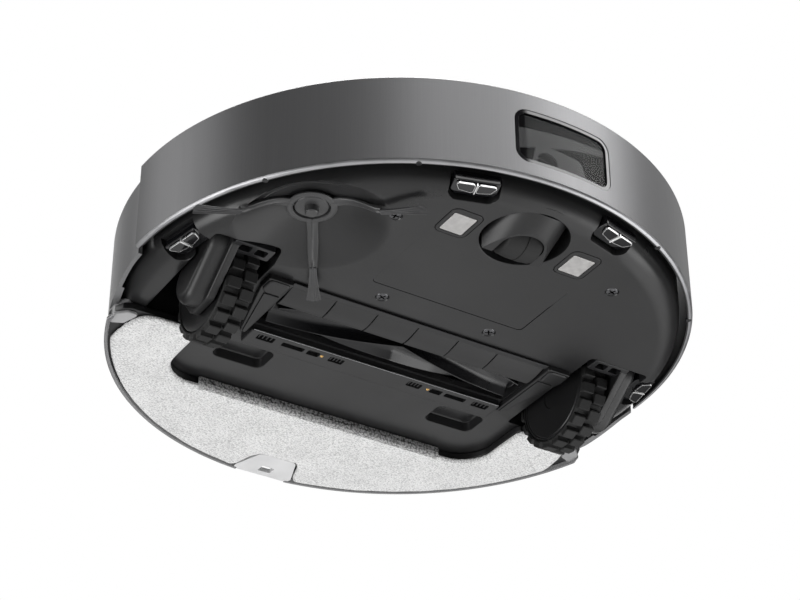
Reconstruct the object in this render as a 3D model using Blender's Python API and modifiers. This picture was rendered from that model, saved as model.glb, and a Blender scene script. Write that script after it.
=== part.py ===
"""Robot vacuum and mop: a round body with a sprung bumper, driven wheels, brushes and a mop.

The front of the robot is -Y, its right-hand wheel (seen from the front) is at +X, and +Z is up.
The origin is the centre of the body at the height of the lowest point of the dropped wheels.
Lengths are in millimetres and are turned into metres where a mesh is made.
"""
import bpy
import bmesh
from math import cos, sin, pi, radians, sqrt
from mathutils import Matrix, Vector

MM = 0.001
OBJECT_NAME = "robot_vacuum"
GAP = 0.3                      # between pieces that touch

# Body, heights over the lowest point of the dropped wheels
RIM_Z = 41.0                   # lower rim of the bumper
BASE_Z = RIM_Z - 8.4           # flat underside of the chassis
DRIVE_Z = RIM_Z - 16.4         # floor level when the wheels are pushed up
BUMPER_TOP = RIM_Z + 57.5
SHELL_TOP = RIM_Z + 55.4        # rounded shoulder of the rear shell
WALL_TOP = RIM_Z + 50.0
DECK_BOTTOM = WALL_TOP + GAP   # lower edge of the deck's skirt
DECK_TOP = RIM_Z + 62.0
DECK_SKIN = DECK_TOP - 2.5     # underside of the deck's plate
FLOOR_IN = RIM_Z - 5.0         # inside face of the chassis floor

BUMPER_R = 176.5
BUMPER_IN_R = 174.0
BUMPER_LIP_R = 171.0           # inner edge of the bumper's top lip
SHELL_R = 173.6
SHELL_IN_R = 171.1
SHELL_TOP_R = 167.4            # inner edge of the shell's shoulder, beside the deck
CHASSIS_R = 168.8
CHASSIS_IN_R = 166.3
DECK_R = 167.0
DECK_IN_R = 164.2
BUMPER_END_ANGLE = 89.0        # degrees from the front
BUMPER_TRAVEL = 3.5            # the pressed bumper moves this far to the rear

# Camera window in the bumper
WINDOW_HALF = 32.0
WINDOW_Z = (RIM_Z + 13.5, RIM_Z + 46.0)
LENS_X = -11.0
LENS_Z = RIM_Z + 15.0

# Driven wheels
WHEEL_R = 35.0
WHEEL_Z = 35.0
WHEEL_X = (113.0, 135.0)
HUB_R = 30.0
PIVOT_Y = -42.0
PIVOT_Z = RIM_Z + 12.0
PIN_R = 3.0
WELL_X = (107.0, 149.0)
WELL_Y = (-50.5, 41.0)
WELL_TOP = RIM_Z + 55.0

# Main brush
BRUSH_Y = 3.5
BRUSH_Z = RIM_Z + 4.0
BRUSH_TIP_R = 17.0
BRUSH_ROOT_R = 9.0
BRUSH_HALF = 84.0
OPENING_HALF = 88.3
OPENING_Y = (-29.0, 19.0)
CAVITY_Y = (-28.0, 24.5)
CAVITY_TOP = RIM_Z + 33.0

# Side brush
SIDE_BRUSH = (-109.0, -86.0)
SIDE_BRUSH_ANGLES = (59.0, 170.0, -52.0)
DISH_R = 42.0
DISH_DEPTH = 15.0

# Caster
CASTER = (0.0, -134.0)
SOCKET_R = 28.0
CASTER_WHEEL_R = 13.0
CASTER_WHEEL_Y = -128.0
CASTER_WHEEL_Z = DRIVE_Z + CASTER_WHEEL_R

# Mop
MOP_R = 174.0
MOP_NOTCH_HALF = 114.0
MOP_NOTCH_Y = 91.0
MOP_NOTCH_CORNER = 22.0
MOP_FRONT_Y = 37.0

# Things on the underside
CONTACTS_X = 39.6
CONTACTS_Y = -127.5
SCREWS = ((-37.0, -42.4), (37.0, -42.4), (-73.4, -116.0), (73.4, -116.0))
PULL_X = (59.0, 92.5)
PULL_Y = (45.0, 65.5)

# Turret and buttons on top
TURRET = (0.0, 16.0)
TURRET_R = 36.0
TURRET_TOP = RIM_Z + 80.6
BUTTON_X = 13.0
BUTTON_Y = -70.0
BUTTON_R = 6.0
LID = ((-62.0, 62.0), (62.0, 140.0))
LID_HINGE_GAP = 1.6

FAN = (92.0, 79.0)


# ---------------------------------------------------------------- tools

def clear_scene():
    for item in list(bpy.data.objects):
        bpy.data.objects.remove(item, do_unlink=True)


def new_collection(name):
    made = bpy.data.collections.new(name)
    bpy.context.scene.collection.children.link(made)
    return made


clear_scene()
PARTS = new_collection(OBJECT_NAME)
CUTTERS = new_collection("cutters")
MATERIALS = {}


def material(name, colour, roughness, metallic=0.0, alpha=1.0):
    made = bpy.data.materials.new(name)
    made.use_nodes = True
    shader = made.node_tree.nodes["Principled BSDF"]
    shader.inputs["Base Color"].default_value = (*colour, 1.0)
    shader.inputs["Roughness"].default_value = roughness
    shader.inputs["Metallic"].default_value = metallic
    shader.inputs["Alpha"].default_value = alpha
    MATERIALS[name] = made


material("shell_grey", (0.20, 0.20, 0.21), 0.38, 0.55)
material("chassis_black", (0.035, 0.035, 0.037), 0.45)
material("gloss_black", (0.01, 0.01, 0.012), 0.08)
material("rubber_black", (0.02, 0.02, 0.02), 0.75)
material("grey_rubber", (0.12, 0.12, 0.12), 0.5)
material("nickel", (0.72, 0.71, 0.69), 0.3, 1.0)
material("steel", (0.45, 0.45, 0.46), 0.35, 1.0)
material("smoked_glass", (0.03, 0.03, 0.035), 0.05, 0.0, 0.35)
material("mop_fabric", (0.68, 0.68, 0.68), 0.95)
material("smoke_plastic", (0.30, 0.30, 0.31), 0.3)
material("board_green", (0.03, 0.16, 0.08), 0.5)
material("cell_blue", (0.06, 0.10, 0.24), 0.45)
material("filter_white", (0.78, 0.78, 0.74), 0.9)
material("bin_clear", (0.18, 0.18, 0.19), 0.2)


def add_object(name, mesh, finish=None):
    """An object in the parts collection, or a hidden cutter where no finish is given."""
    made = bpy.data.objects.new(name, mesh)
    (PARTS if finish else CUTTERS).objects.link(made)
    if finish:
        mesh.materials.clear()
        mesh.materials.append(MATERIALS[finish])
        mesh.shade_smooth()
        mesh.set_sharp_from_angle(angle=radians(32))
    else:
        made.hide_render = True
        made.display_type = "WIRE"
    return made


def box_mesh(name, low, high):
    mesh = bpy.data.meshes.new(name)
    bm = bmesh.new()
    bmesh.ops.create_cube(bm, size=1.0)
    size = Vector(high) - Vector(low)
    middle = (Vector(high) + Vector(low)) / 2
    bm.transform(Matrix.Translation(middle * MM) @ Matrix.Diagonal((*(size * MM), 1.0)))
    bm.to_mesh(mesh)
    bm.free()
    return mesh


def box(name, low, high, finish=None, round_edge=0.0, segments=1):
    made = add_object(name, box_mesh(name, low, high), finish)
    if round_edge:
        bevel(made, round_edge, segments)
    return made


def bevel(item, width, segments=1, angle=40.0):
    mod = item.modifiers.new("rounded_edges", "BEVEL")
    mod.width = width * MM
    mod.segments = segments
    mod.limit_method = "ANGLE"
    mod.angle_limit = radians(angle)


def evaluated_mesh(item, name):
    """The mesh that an object's modifiers or curve settings give, with loose caps welded."""
    bpy.context.view_layer.update()
    graph = bpy.context.evaluated_depsgraph_get()
    mesh = bpy.data.meshes.new_from_object(item.evaluated_get(graph))
    mesh.name = name
    bm = bmesh.new()
    bm.from_mesh(mesh)
    bmesh.ops.remove_doubles(bm, verts=bm.verts, dist=1e-6)
    rims = [edge for edge in bm.edges if edge.is_boundary]
    if rims:
        bmesh.ops.holes_fill(bm, edges=rims)
    bmesh.ops.recalc_face_normals(bm, faces=bm.faces)
    bm.to_mesh(mesh)
    bm.free()
    return mesh


def turned(name, profile, steps, finish=None, sweep=360.0, start=0.0, at=(0.0, 0.0, 0.0), axis="Z"):
    """A profile of (radius, height) points in mm, turned about the object's own Z.

    The profile is closed. A sweep under 360 degrees starts at `start` degrees from +X.
    """
    mesh = bpy.data.meshes.new(name)
    points = [(r * MM, 0.0, z * MM) for r, z in profile]
    count = len(points)
    closed = profile[0][0] > 0.0 or profile[-1][0] > 0.0
    edges = [(i, (i + 1) % count) for i in range(count if closed else count - 1)]
    mesh.from_pydata(points, edges, [])
    guide = bpy.data.objects.new(name, mesh)
    CUTTERS.objects.link(guide)
    screw = guide.modifiers.new("turn", "SCREW")
    screw.angle = radians(sweep)
    screw.steps = screw.render_steps = steps
    screw.use_merge_vertices = True
    screw.merge_threshold = 1e-5
    solid = evaluated_mesh(guide, name)
    bpy.data.objects.remove(guide, do_unlink=True)
    solid.transform(Matrix.Rotation(radians(start), 4, "Z"))
    made = add_object(name, solid, finish)
    made.location = Vector(at) * MM
    if axis == "+X":
        made.rotation_euler = (0.0, pi / 2, 0.0)
    elif axis == "-X":
        made.rotation_euler = (0.0, -pi / 2, 0.0)
    elif axis == "-Y":
        made.rotation_euler = (pi / 2, 0.0, 0.0)
    return made


def cylinder(name, radius, low, high, steps, finish=None, at=(0.0, 0.0, 0.0), axis="Z"):
    """A plain round bar from low to high along its axis."""
    mesh = bpy.data.meshes.new(name)
    bm = bmesh.new()
    bmesh.ops.create_cone(bm, cap_ends=True, segments=steps, radius1=radius * MM,
                          radius2=radius * MM, depth=(high - low) * MM)
    bm.transform(Matrix.Translation((0.0, 0.0, (low + high) / 2 * MM)))
    bm.to_mesh(mesh)
    bm.free()
    made = add_object(name, mesh, finish)
    made.location = Vector(at) * MM
    if axis == "X":
        made.rotation_euler = (0.0, pi / 2, 0.0)
    elif axis == "Y":
        made.rotation_euler = (-pi / 2, 0.0, 0.0)
    return made


def plate(name, outline, low, high, finish=None, plane="XY"):
    """A flat outline in mm, extruded from low to high along the plane's normal."""
    curve = bpy.data.curves.new(name, "CURVE")
    curve.dimensions = "2D"
    curve.fill_mode = "BOTH"
    curve.extrude = (high - low) / 2 * MM
    spline = curve.splines.new("POLY")
    spline.points.add(len(outline) - 1)
    for point, (x, y) in zip(spline.points, outline):
        point.co = (x * MM, y * MM, 0.0, 1.0)
    spline.use_cyclic_u = True
    guide = bpy.data.objects.new(name, curve)
    CUTTERS.objects.link(guide)
    solid = evaluated_mesh(guide, name)
    bpy.data.objects.remove(guide, do_unlink=True)
    solid.transform(Matrix.Translation((0.0, 0.0, (low + high) / 2 * MM)))
    if plane == "YZ":
        solid.transform(Matrix.Rotation(pi / 2, 4, "Z") @ Matrix.Rotation(pi / 2, 4, "X"))
    elif plane == "XZ":
        solid.transform(Matrix.Rotation(pi / 2, 4, "X"))
    return add_object(name, solid, finish)


def combine(item, tool, operation):
    mod = item.modifiers.new(f"{operation.lower()}_{tool.name}", "BOOLEAN")
    mod.operation = operation
    mod.solver = "EXACT"
    mod.object = tool


def cut(item, *tools):
    for tool in tools:
        combine(item, tool, "DIFFERENCE")


def join(item, *tools):
    for tool in tools:
        combine(item, tool, "UNION")


def keep_common(item, tool):
    combine(item, tool, "INTERSECT")


def arc(x, y, radius, first, last, steps):
    """Points on an arc, angles in degrees, both ends included."""
    turn = [radians(first + (last - first) * i / steps) for i in range(steps + 1)]
    return [(x + radius * cos(a), y + radius * sin(a)) for a in turn]


def mirrored(low, high, side):
    """A box's corners given for +X, moved to the side wanted (+1 or -1)."""
    if side > 0:
        return low, high
    return (-high[0], *low[1:]), (-low[0], *high[1:])


def set_origin(item, x, y, z):
    """Moves the object's origin to a point in mm, leaving its shape where it is."""
    target = Vector((x, y, z)) * MM
    bpy.context.view_layer.update()
    offset = item.matrix_world.inverted() @ target
    item.data.transform(Matrix.Translation(-offset))
    item.location = target


def pivot(name, x, y, z, parent=None):
    """An empty on a joint's axis."""
    made = bpy.data.objects.new(name, None)
    PARTS.objects.link(made)
    made.empty_display_size = 0.01
    made.location = Vector((x, y, z)) * MM
    if parent:
        attach(made, parent)
    return made


def attach(item, parent):
    bpy.context.view_layer.update()
    item.parent = parent
    item.matrix_parent_inverse = parent.matrix_world.inverted()


# ---------------------------------------------------------------- chassis

def inner_form():
    """The space inside the chassis's outer skin, used to trim the blocks joined to its floor."""
    return turned("inner_form", [
        (0.0, RIM_Z + 56.0), (167.2, RIM_Z + 56.0), (167.2, RIM_Z + 2.0), (165.0, RIM_Z - 2.0),
        (161.0, RIM_Z - 5.0), (154.0, RIM_Z - 7.0), (0.0, RIM_Z - 7.0)], 56)


def dish_block():
    x, y = SIDE_BRUSH
    block = cylinder("dish_block", DISH_R + 3.0, RIM_Z - 6.5, RIM_Z + 10.0, 24, at=(x, y, 0.0))
    keep_common(block, inner_form())
    return block


def cliff_slot(name, angle, round_edge, half_width, inner_r, outer_r, low, high, finish=None):
    """A block lying across the rim, turned by an angle in degrees from the front."""
    mesh = box_mesh(name, (-half_width, -outer_r, low), (half_width, -inner_r, high))
    made = add_object(name, mesh, finish)
    made.rotation_euler.z = radians(angle)
    bevel(made, round_edge, 2)
    return made


CLIFF_SENSORS = (("cliff_sensor_front_left", -17.0), ("cliff_sensor_front_right", 15.5),
                 ("cliff_sensor_side_left", -77.0), ("cliff_sensor_side_right", 77.0))


def make_chassis():
    chassis = turned("chassis", [
        (0.0, FLOOR_IN), (160.0, FLOOR_IN), (164.6, RIM_Z - 1.5), (CHASSIS_IN_R, RIM_Z + 3.0),
        (CHASSIS_IN_R, WALL_TOP), (CHASSIS_R, WALL_TOP), (CHASSIS_R, RIM_Z + 1.0),
        (167.0, RIM_Z - 3.4), (162.5, RIM_Z - 7.0), (156.0, BASE_Z), (0.0, BASE_Z)],
        72, "chassis_black")
    raised = RIM_Z - 7.0
    for side, label in ((-1, "left"), (1, "right")):
        join(chassis, box(f"well_block_{label}", *mirrored(
            (WELL_X[0] - 2.5, WELL_Y[0] - 2.5, raised), (WELL_X[1] + 2.5, WELL_Y[1] + 2.5, WELL_TOP + 2.0),
            side)))
        join(chassis, box(f"pull_block_{label}", *mirrored(
            (PULL_X[0] - 3.0, PULL_Y[0] - 3.0, raised), (PULL_X[1] + 3.0, PULL_Y[1] + 3.0, RIM_Z + 1.0),
            side)))
    join(chassis, box("brush_block", (-OPENING_HALF - 4.0, CAVITY_Y[0] - 2.5, raised + 0.2),
                      (OPENING_HALF + 4.0, CAVITY_Y[1] + 2.5, CAVITY_TOP + 2.5)))
    join(chassis, box("rear_bar", (-87.5, 21.0, RIM_Z - 12.8), (87.5, 37.0, RIM_Z - 6.0), round_edge=1.5))
    join(chassis, cylinder("socket_block", SOCKET_R + 1.5, raised, RIM_Z + 18.0, 32, at=(*CASTER, 0.0)))
    join(chassis, dish_block())
    below = DRIVE_Z - 10.0
    for side, label in ((-1, "left"), (1, "right")):
        cut(chassis, box(f"well_space_{label}", *mirrored(
            (WELL_X[0], WELL_Y[0], below), (WELL_X[1], WELL_Y[1], WELL_TOP), side)))
        cut(chassis, box(f"pull_space_{label}", *mirrored(
            (PULL_X[0], PULL_Y[0], below), (PULL_X[1], PULL_Y[1], RIM_Z - 1.5), side), round_edge=3.0))
        cut(chassis, box(f"contact_pocket_{label}", *mirrored(
            (CONTACTS_X - 7.6, CONTACTS_Y - 8.6, below), (CONTACTS_X + 7.6, CONTACTS_Y + 8.6, RIM_Z - 6.4),
            side)))
    cut(chassis, box("brush_space", (-OPENING_HALF - 1.7, CAVITY_Y[0], RIM_Z - 4.5),
                     (OPENING_HALF + 1.7, CAVITY_Y[1], CAVITY_TOP)))
    cut(chassis, box("brush_mouth", (-OPENING_HALF, OPENING_Y[0], below),
                     (OPENING_HALF, OPENING_Y[1], RIM_Z - 2.0)))
    cut(chassis, cylinder("socket_space", SOCKET_R, below, RIM_Z + 15.0, 32, at=(*CASTER, 0.0)))
    cut(chassis, cylinder("stem_hole", 5.5, below, RIM_Z + 30.0, 16, at=(*CASTER, 0.0)))
    dish_sphere_r = (DISH_R ** 2 + DISH_DEPTH ** 2) / (2 * DISH_DEPTH)
    sphere = bpy.data.meshes.new("dish_space")
    bm = bmesh.new()
    bmesh.ops.create_uvsphere(bm, u_segments=24, v_segments=28, radius=dish_sphere_r * MM)
    bm.to_mesh(sphere)
    bm.free()
    dish = add_object("dish_space", sphere)
    dish.location = Vector((*SIDE_BRUSH, BASE_Z + DISH_DEPTH - dish_sphere_r)) * MM
    cut(chassis, dish, cylinder("shaft_hole", 4.0, below, RIM_Z + 20.0, 16, at=(*SIDE_BRUSH, 0.0)))
    cut(chassis, box("battery_opening", (-51.6, -104.0, below), (51.6, -54.0, FLOOR_IN + 5.0)))
    for name, angle in CLIFF_SENSORS:
        cut(chassis, cliff_slot(f"{name}_slot", angle, 2.0, 13.5, 157.5, 178.0, below, RIM_Z + 0.5))
    for number, (x, y) in enumerate(SCREWS, 1):
        cut(chassis, cylinder(f"screw_recess_{number}", 3.9, below, RIM_Z - 6.8, 16, at=(x, y, 0.0)))
    cut(chassis, box("camera_hole", (-40.0, -180.0, RIM_Z + 18.5), (40.0, -150.0, RIM_Z + 47.5)),
        box("lens_hole", (-24.0, -180.0, RIM_Z + 7.0), (24.0, -163.9, RIM_Z + 20.0)))


def make_cliff_sensors():
    for name, angle in CLIFF_SENSORS:
        cliff_slot(name, angle, 1.8, 13.1, 157.9, 166.5, RIM_Z - 7.6, RIM_Z - 0.5, "gloss_black")


def make_contacts():
    for side, label in ((-1, "left"), (1, "right")):
        low, high = mirrored((CONTACTS_X - 7.2, CONTACTS_Y - 8.2, BASE_Z - 0.5),
                             (CONTACTS_X + 7.2, CONTACTS_Y + 8.2, RIM_Z - 6.7), side)
        box(f"charge_contact_{label}", low, high, "nickel", 0.5)


def make_screws():
    for number, (x, y) in enumerate(SCREWS, 1):
        cylinder(f"screw_{number}", 3.5, BASE_Z + 0.2, RIM_Z - 7.1, 16, "steel", at=(x, y, 0.0))


# ---------------------------------------------------------------- shells

def make_rear_shell():
    sweep = 360.0 - 2 * (BUMPER_END_ANGLE + 0.5)
    shoulder = [(SHELL_TOP_R + 2.2, SHELL_TOP)] + arc(SHELL_R - 6.0, SHELL_TOP - 6.0, 6.0, 75.0, 0.0, 3)
    shell = turned("rear_shell", [(SHELL_TOP_R, DECK_BOTTOM), (SHELL_TOP_R, SHELL_TOP)] + shoulder + [
        (SHELL_R, RIM_Z - 6.8), (SHELL_R - 1.2, RIM_Z - 8.0), (169.3, RIM_Z - 8.0), (169.3, RIM_Z - 5.5),
        (SHELL_IN_R, RIM_Z - 5.5), (SHELL_IN_R, DECK_BOTTOM)],
        40, "shell_grey", sweep, 90.0 - sweep / 2)
    for side, label in ((-1, "left"), (1, "right")):
        cut(shell, box(f"shell_end_{label}", *mirrored(
            (140.0, -20.0, 0.0), (190.0, 34.0, RIM_Z - 2.0), side)))
        cut(shell, box(f"lip_clearance_{label}", *mirrored(
            (140.0, -20.0, 0.0), (190.0, 12.0, RIM_Z + 4.0), side)))
    angle = radians(52.0)
    x, y = SHELL_R * cos(angle), SHELL_R * sin(angle)
    window = box("grille_window", (-8.0, -19.0, RIM_Z + 14.0), (8.0, 19.0, RIM_Z + 40.0))
    window.location = (x * MM, y * MM, 0.0)
    window.rotation_euler.z = angle
    cut(shell, window)
    grille = turned("exhaust_grille", [
        (SHELL_IN_R + 0.3, RIM_Z + 39.6), (SHELL_R - 0.3, RIM_Z + 39.6),
        (SHELL_R - 0.3, RIM_Z + 14.4), (SHELL_IN_R + 0.3, RIM_Z + 14.4)],
        4, "chassis_black", 12.2, 45.9)
    return grille


def make_top_deck():
    deck = turned("top_deck", [
        (0.0, DECK_TOP), (DECK_R - 8.0, DECK_TOP), (DECK_R - 4.4, DECK_TOP - 1.0),
        (DECK_R - 2.0, DECK_TOP - 3.6), (DECK_R - 0.4, DECK_TOP - 6.7), (DECK_R, DECK_TOP - 10.0),
        (DECK_R, DECK_BOTTOM), (DECK_IN_R, DECK_BOTTOM), (DECK_IN_R, DECK_SKIN - 3.0),
        (DECK_IN_R - 3.0, DECK_SKIN), (0.0, DECK_SKIN)],
        56, "shell_grey")
    (x0, x1), (y0, y1) = LID
    above = DECK_TOP + 10.0
    cut(deck, box("lid_opening", (x0 - GAP, y0 - GAP, DECK_SKIN - 5.0), (x1 + GAP, y1 + LID_HINGE_GAP, above)))
    cut(deck, cylinder("turret_hole", 30.0, DECK_SKIN - 5.0, above, 28, at=(*TURRET, 0.0)),
        cylinder("turret_seat", TURRET_R + 0.6, DECK_TOP - 0.5, above, 28, at=(*TURRET, 0.0)))
    for side, label in ((-1, "power"), (1, "dock")):
        cut(deck, cylinder(f"{label}_hole", BUTTON_R + 0.4, DECK_SKIN - 5.0, above, 24,
                           at=(side * BUTTON_X, BUTTON_Y, 0.0)))


def make_lid():
    (x0, x1), (y0, y1) = LID
    lid = box("bin_lid", (x0, y0, DECK_SKIN), (x1, y1, DECK_TOP - 0.1), "shell_grey", 0.4)
    set_origin(lid, 0.0, y1, (DECK_SKIN + DECK_TOP) / 2)


def make_turret():
    x, y = TURRET
    turned("lidar_base", [(0.0, DECK_TOP + 0.6), (29.0, DECK_TOP + 0.6), (29.0, DECK_SKIN - 3.0),
                          (0.0, DECK_SKIN - 3.0)], 24, "chassis_black", at=(x, y, 0.0))
    top = TURRET_TOP
    cap = turned("lidar_cap", [
        (0.0, top), (33.0, top), (TURRET_R, top - 3.0), (TURRET_R, DECK_TOP + GAP),
        (33.4, DECK_TOP + GAP), (33.4, top - 2.6), (0.0, top - 2.6)], 28, "shell_grey", at=(x, y, 0.0))
    for number, turn in enumerate((45.0, 135.0)):
        slot = box(f"turret_window_{number}", (-50.0, -17.0, DECK_TOP + 3.0), (50.0, 17.0, top - 6.0))
        slot.location = (x * MM, y * MM, 0.0)
        slot.rotation_euler.z = radians(turn)
        cut(cap, slot)
    turned("lidar_head", [(0.0, top - 3.6), (27.0, top - 3.6), (27.0, DECK_TOP + 1.6), (0.0, DECK_TOP + 1.6)],
           24, "gloss_black", at=(x, y, 0.0))


def make_buttons():
    for side, label in ((-1, "power_button"), (1, "dock_button")):
        turned(label, [
            (0.0, DECK_TOP + 0.6), (BUTTON_R - 0.5, DECK_TOP + 0.6), (BUTTON_R, DECK_TOP),
            (BUTTON_R, DECK_SKIN - 1.0), (0.0, DECK_SKIN - 1.0)], 20, "gloss_black",
            at=(side * BUTTON_X, BUTTON_Y, 0.0))


def make_bumper():
    sweep = 2 * BUMPER_END_ANGLE
    start = -90.0 - BUMPER_END_ANGLE
    bumper = turned("bumper_shell", [
        (BUMPER_LIP_R, BUMPER_TOP), (BUMPER_R - 0.6, BUMPER_TOP), (BUMPER_R, BUMPER_TOP - 0.6),
        (BUMPER_R, RIM_Z + 1.7), (BUMPER_R - 1.5, RIM_Z), (173.0, RIM_Z), (173.0, RIM_Z + 2.0),
        (BUMPER_IN_R, RIM_Z + 3.5), (BUMPER_IN_R, BUMPER_TOP - 1.6), (BUMPER_LIP_R, BUMPER_TOP - 1.6)],
        52, "shell_grey", sweep, start)
    low, high = WINDOW_Z
    opening = box("window_opening", (-WINDOW_HALF, -190.0, low), (WINDOW_HALF, -150.0, high))
    bevel(opening, 6.0, 3)
    cut(bumper, opening)
    window = turned("camera_window", [
        (BUMPER_IN_R + 0.3, high + 10.0), (BUMPER_R - 0.5, high + 10.0),
        (BUMPER_R - 0.5, low - 10.0), (BUMPER_IN_R + 0.3, low - 10.0)], 16, "smoked_glass", 40.0, -110.0)
    pane = box("window_pane", (-WINDOW_HALF + GAP, -190.0, low + GAP), (WINDOW_HALF - GAP, -150.0, high - GAP))
    bevel(pane, 5.8, 3)
    keep_common(window, pane)
    camera = box("camera_module", (-30.0, -166.5, RIM_Z + 19.0), (30.0, -153.0, high - 1.0), "chassis_black")
    join(camera, box("lens_seat", (-20.0, -166.3, RIM_Z + 8.0), (20.0, -164.2, RIM_Z + 25.0)))
    lens_front = BUMPER_IN_R - BUMPER_TRAVEL - 3 * GAP
    lens = cylinder("camera_lens", 6.5, lens_front - 3.0, lens_front, 24, "gloss_black",
                    at=(LENS_X, 0.0, LENS_Z))
    lens.rotation_euler = (pi / 2, 0.0, 0.0)


# ---------------------------------------------------------------- wheels

def make_wheel(side, label):
    out = "+X" if side > 0 else "-X"
    suspension = pivot(f"suspension_{label}", side * WELL_X[1], PIVOT_Y, PIVOT_Z)
    spin = pivot(f"wheel_spin_{label}", side * WHEEL_X[0], 0.0, WHEEL_Z, suspension)
    outline = [(-48.5, 14.0), (-48.5, -8.0), (-15.0, -31.0), (4.0, -31.0), (14.0, -18.0), (14.0, 4.0),
               (-8.0, 21.0), (-40.0, 21.0)]
    near, far = WHEEL_X[1] + 1.3, WELL_X[1] - 1.0
    low, high = (near, far) if side > 0 else (-far, -near)
    arm = plate(f"wheel_arm_{label}", [(y, z + RIM_Z) for y, z in outline], low, high, "chassis_black", "YZ")
    bevel(arm, 4.0, 2)
    pin_at = (0.0, PIVOT_Y, PIVOT_Z)
    cut(arm, cylinder(f"arm_bore_{label}", PIN_R + 0.4, -160.0, 160.0, 20, at=pin_at, axis="X"))
    set_origin(arm, side * WELL_X[1], PIVOT_Y, PIVOT_Z)
    attach(arm, suspension)
    pin_low, pin_high = WELL_X[0] + GAP, WELL_X[1] - GAP
    if side < 0:
        pin_low, pin_high = -pin_high, -pin_low
    cylinder(f"suspension_pin_{label}", PIN_R, pin_low, pin_high, 20, "steel", at=pin_at, axis="X")
    motor = turned(f"wheel_motor_{label}", [
        (0.0, near - 0.3), (17.0, near - 0.3), (17.0, WHEEL_X[0] + 6.0), (15.5, WHEEL_X[0] + 4.5),
        (0.0, WHEEL_X[0] + 4.5)], 20, "steel", at=(0.0, 0.0, WHEEL_Z), axis=out)
    attach(motor, suspension)
    inner, outer = WHEEL_X[0] + 0.4, WHEEL_X[1] - 0.4
    hub = turned(f"wheel_hub_{label}", [
        (0.0, inner + 3.0), (27.0, inner + 3.0), (27.0, outer - 2.0), (18.5, outer - 2.0), (18.5, outer),
        (HUB_R - 1.0, outer), (HUB_R, outer - 1.0), (HUB_R, inner + 1.0), (HUB_R - 1.0, inner), (0.0, inner)],
        28, "chassis_black", at=(0.0, 0.0, WHEEL_Z), axis=out)
    attach(hub, spin)
    tyre = turned(f"tyre_{label}", [
        (HUB_R + GAP, WHEEL_X[1]), (WHEEL_R - 1.5, WHEEL_X[1]), (WHEEL_R, WHEEL_X[1] - 1.5),
        (WHEEL_R, WHEEL_X[0] + 1.5), (WHEEL_R - 1.5, WHEEL_X[0]), (HUB_R + GAP, WHEEL_X[0])],
        40, "rubber_black", at=(0.0, 0.0, WHEEL_Z), axis=out)
    attach(tyre, spin)
    make_spring(side, label)


def make_spring(side, label):
    """A torsion spring round the suspension's pin."""
    turns, steps, coil_r = 4, 8, 5.6
    first, last = 118.0, 131.0
    curve = bpy.data.curves.new(f"wheel_spring_{label}", "CURVE")
    curve.dimensions = "3D"
    curve.bevel_depth = 0.9 * MM
    curve.bevel_resolution = 1
    curve.use_fill_caps = True
    spline = curve.splines.new("POLY")
    count = turns * steps + 1
    spline.points.add(count - 1)
    for i, point in enumerate(spline.points):
        turn = 2 * pi * i / steps
        x = side * (first + (last - first) * i / (count - 1))
        y, z = PIVOT_Y + coil_r * cos(turn), PIVOT_Z + coil_r * sin(turn)
        point.co = (x * MM, y * MM, z * MM, 1.0)
    guide = bpy.data.objects.new(curve.name, curve)
    CUTTERS.objects.link(guide)
    solid = evaluated_mesh(guide, curve.name)
    bpy.data.objects.remove(guide, do_unlink=True)
    add_object(curve.name, solid, "steel")


# ---------------------------------------------------------------- brushes

def star_outline(blades, root, tip, half_root, half_tip):
    """A gear-like outline of thin blades, angles worked out from their half widths."""
    outline = []
    for number in range(blades):
        middle = 2 * pi * number / blades
        for radius, half in ((root, -half_root), (tip, -half_tip), (tip, half_tip), (root, half_root)):
            angle = middle + half / radius
            outline.append((radius * cos(angle), radius * sin(angle)))
    return outline


def make_main_brush():
    """V-shaped blades: half of the brush is a twisted prism, and the other half mirrors it."""
    steps, twist = 6, radians(62.0)
    mesh = bpy.data.meshes.new("brush_fins")
    bm = bmesh.new()
    ring = [bm.verts.new((0.0, y * MM, z * MM))
            for y, z in star_outline(6, BRUSH_ROOT_R, BRUSH_TIP_R, 1.6, 0.7)]
    face = bm.faces.new(ring)
    inner = []
    for _ in range(steps):
        inner.append(face)
        made = bmesh.ops.extrude_face_region(bm, geom=[face])["geom"]
        face = next(item for item in made if isinstance(item, bmesh.types.BMFace))
        bmesh.ops.translate(bm, verts=face.verts, vec=(BRUSH_HALF / steps * MM, 0.0, 0.0))
        bmesh.ops.rotate(bm, verts=face.verts, cent=(0.0, 0.0, 0.0),
                         matrix=Matrix.Rotation(twist / steps, 3, "X"))
    bmesh.ops.delete(bm, geom=[item for item in inner if item.is_valid], context="FACES_ONLY")
    bmesh.ops.recalc_face_normals(bm, faces=bm.faces)
    bm.to_mesh(mesh)
    bm.free()
    fins = add_object("brush_fins", mesh, "rubber_black")
    fins.location = (0.0, BRUSH_Y * MM, BRUSH_Z * MM)
    mirror = fins.modifiers.new("other_half", "MIRROR")
    mirror.use_axis[0] = True
    mirror.merge_threshold = 1e-5
    at = (0.0, BRUSH_Y, BRUSH_Z)
    cut(fins, cylinder("fins_bore", 6.6, -100.0, 100.0, 20, at=at, axis="X"))
    core = turned("brush_core", [
        (0.0, 87.5), (3.5, 87.5), (3.5, BRUSH_HALF + 1.8), (6.2, BRUSH_HALF + 1.8), (6.2, -BRUSH_HALF - 1.8),
        (3.5, -BRUSH_HALF - 1.8), (3.5, -87.5), (0.0, -87.5)], 20, "steel", at=at, axis="+X")
    axis = pivot("main_brush_axis", *at)
    attach(fins, axis)
    attach(core, axis)


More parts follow.
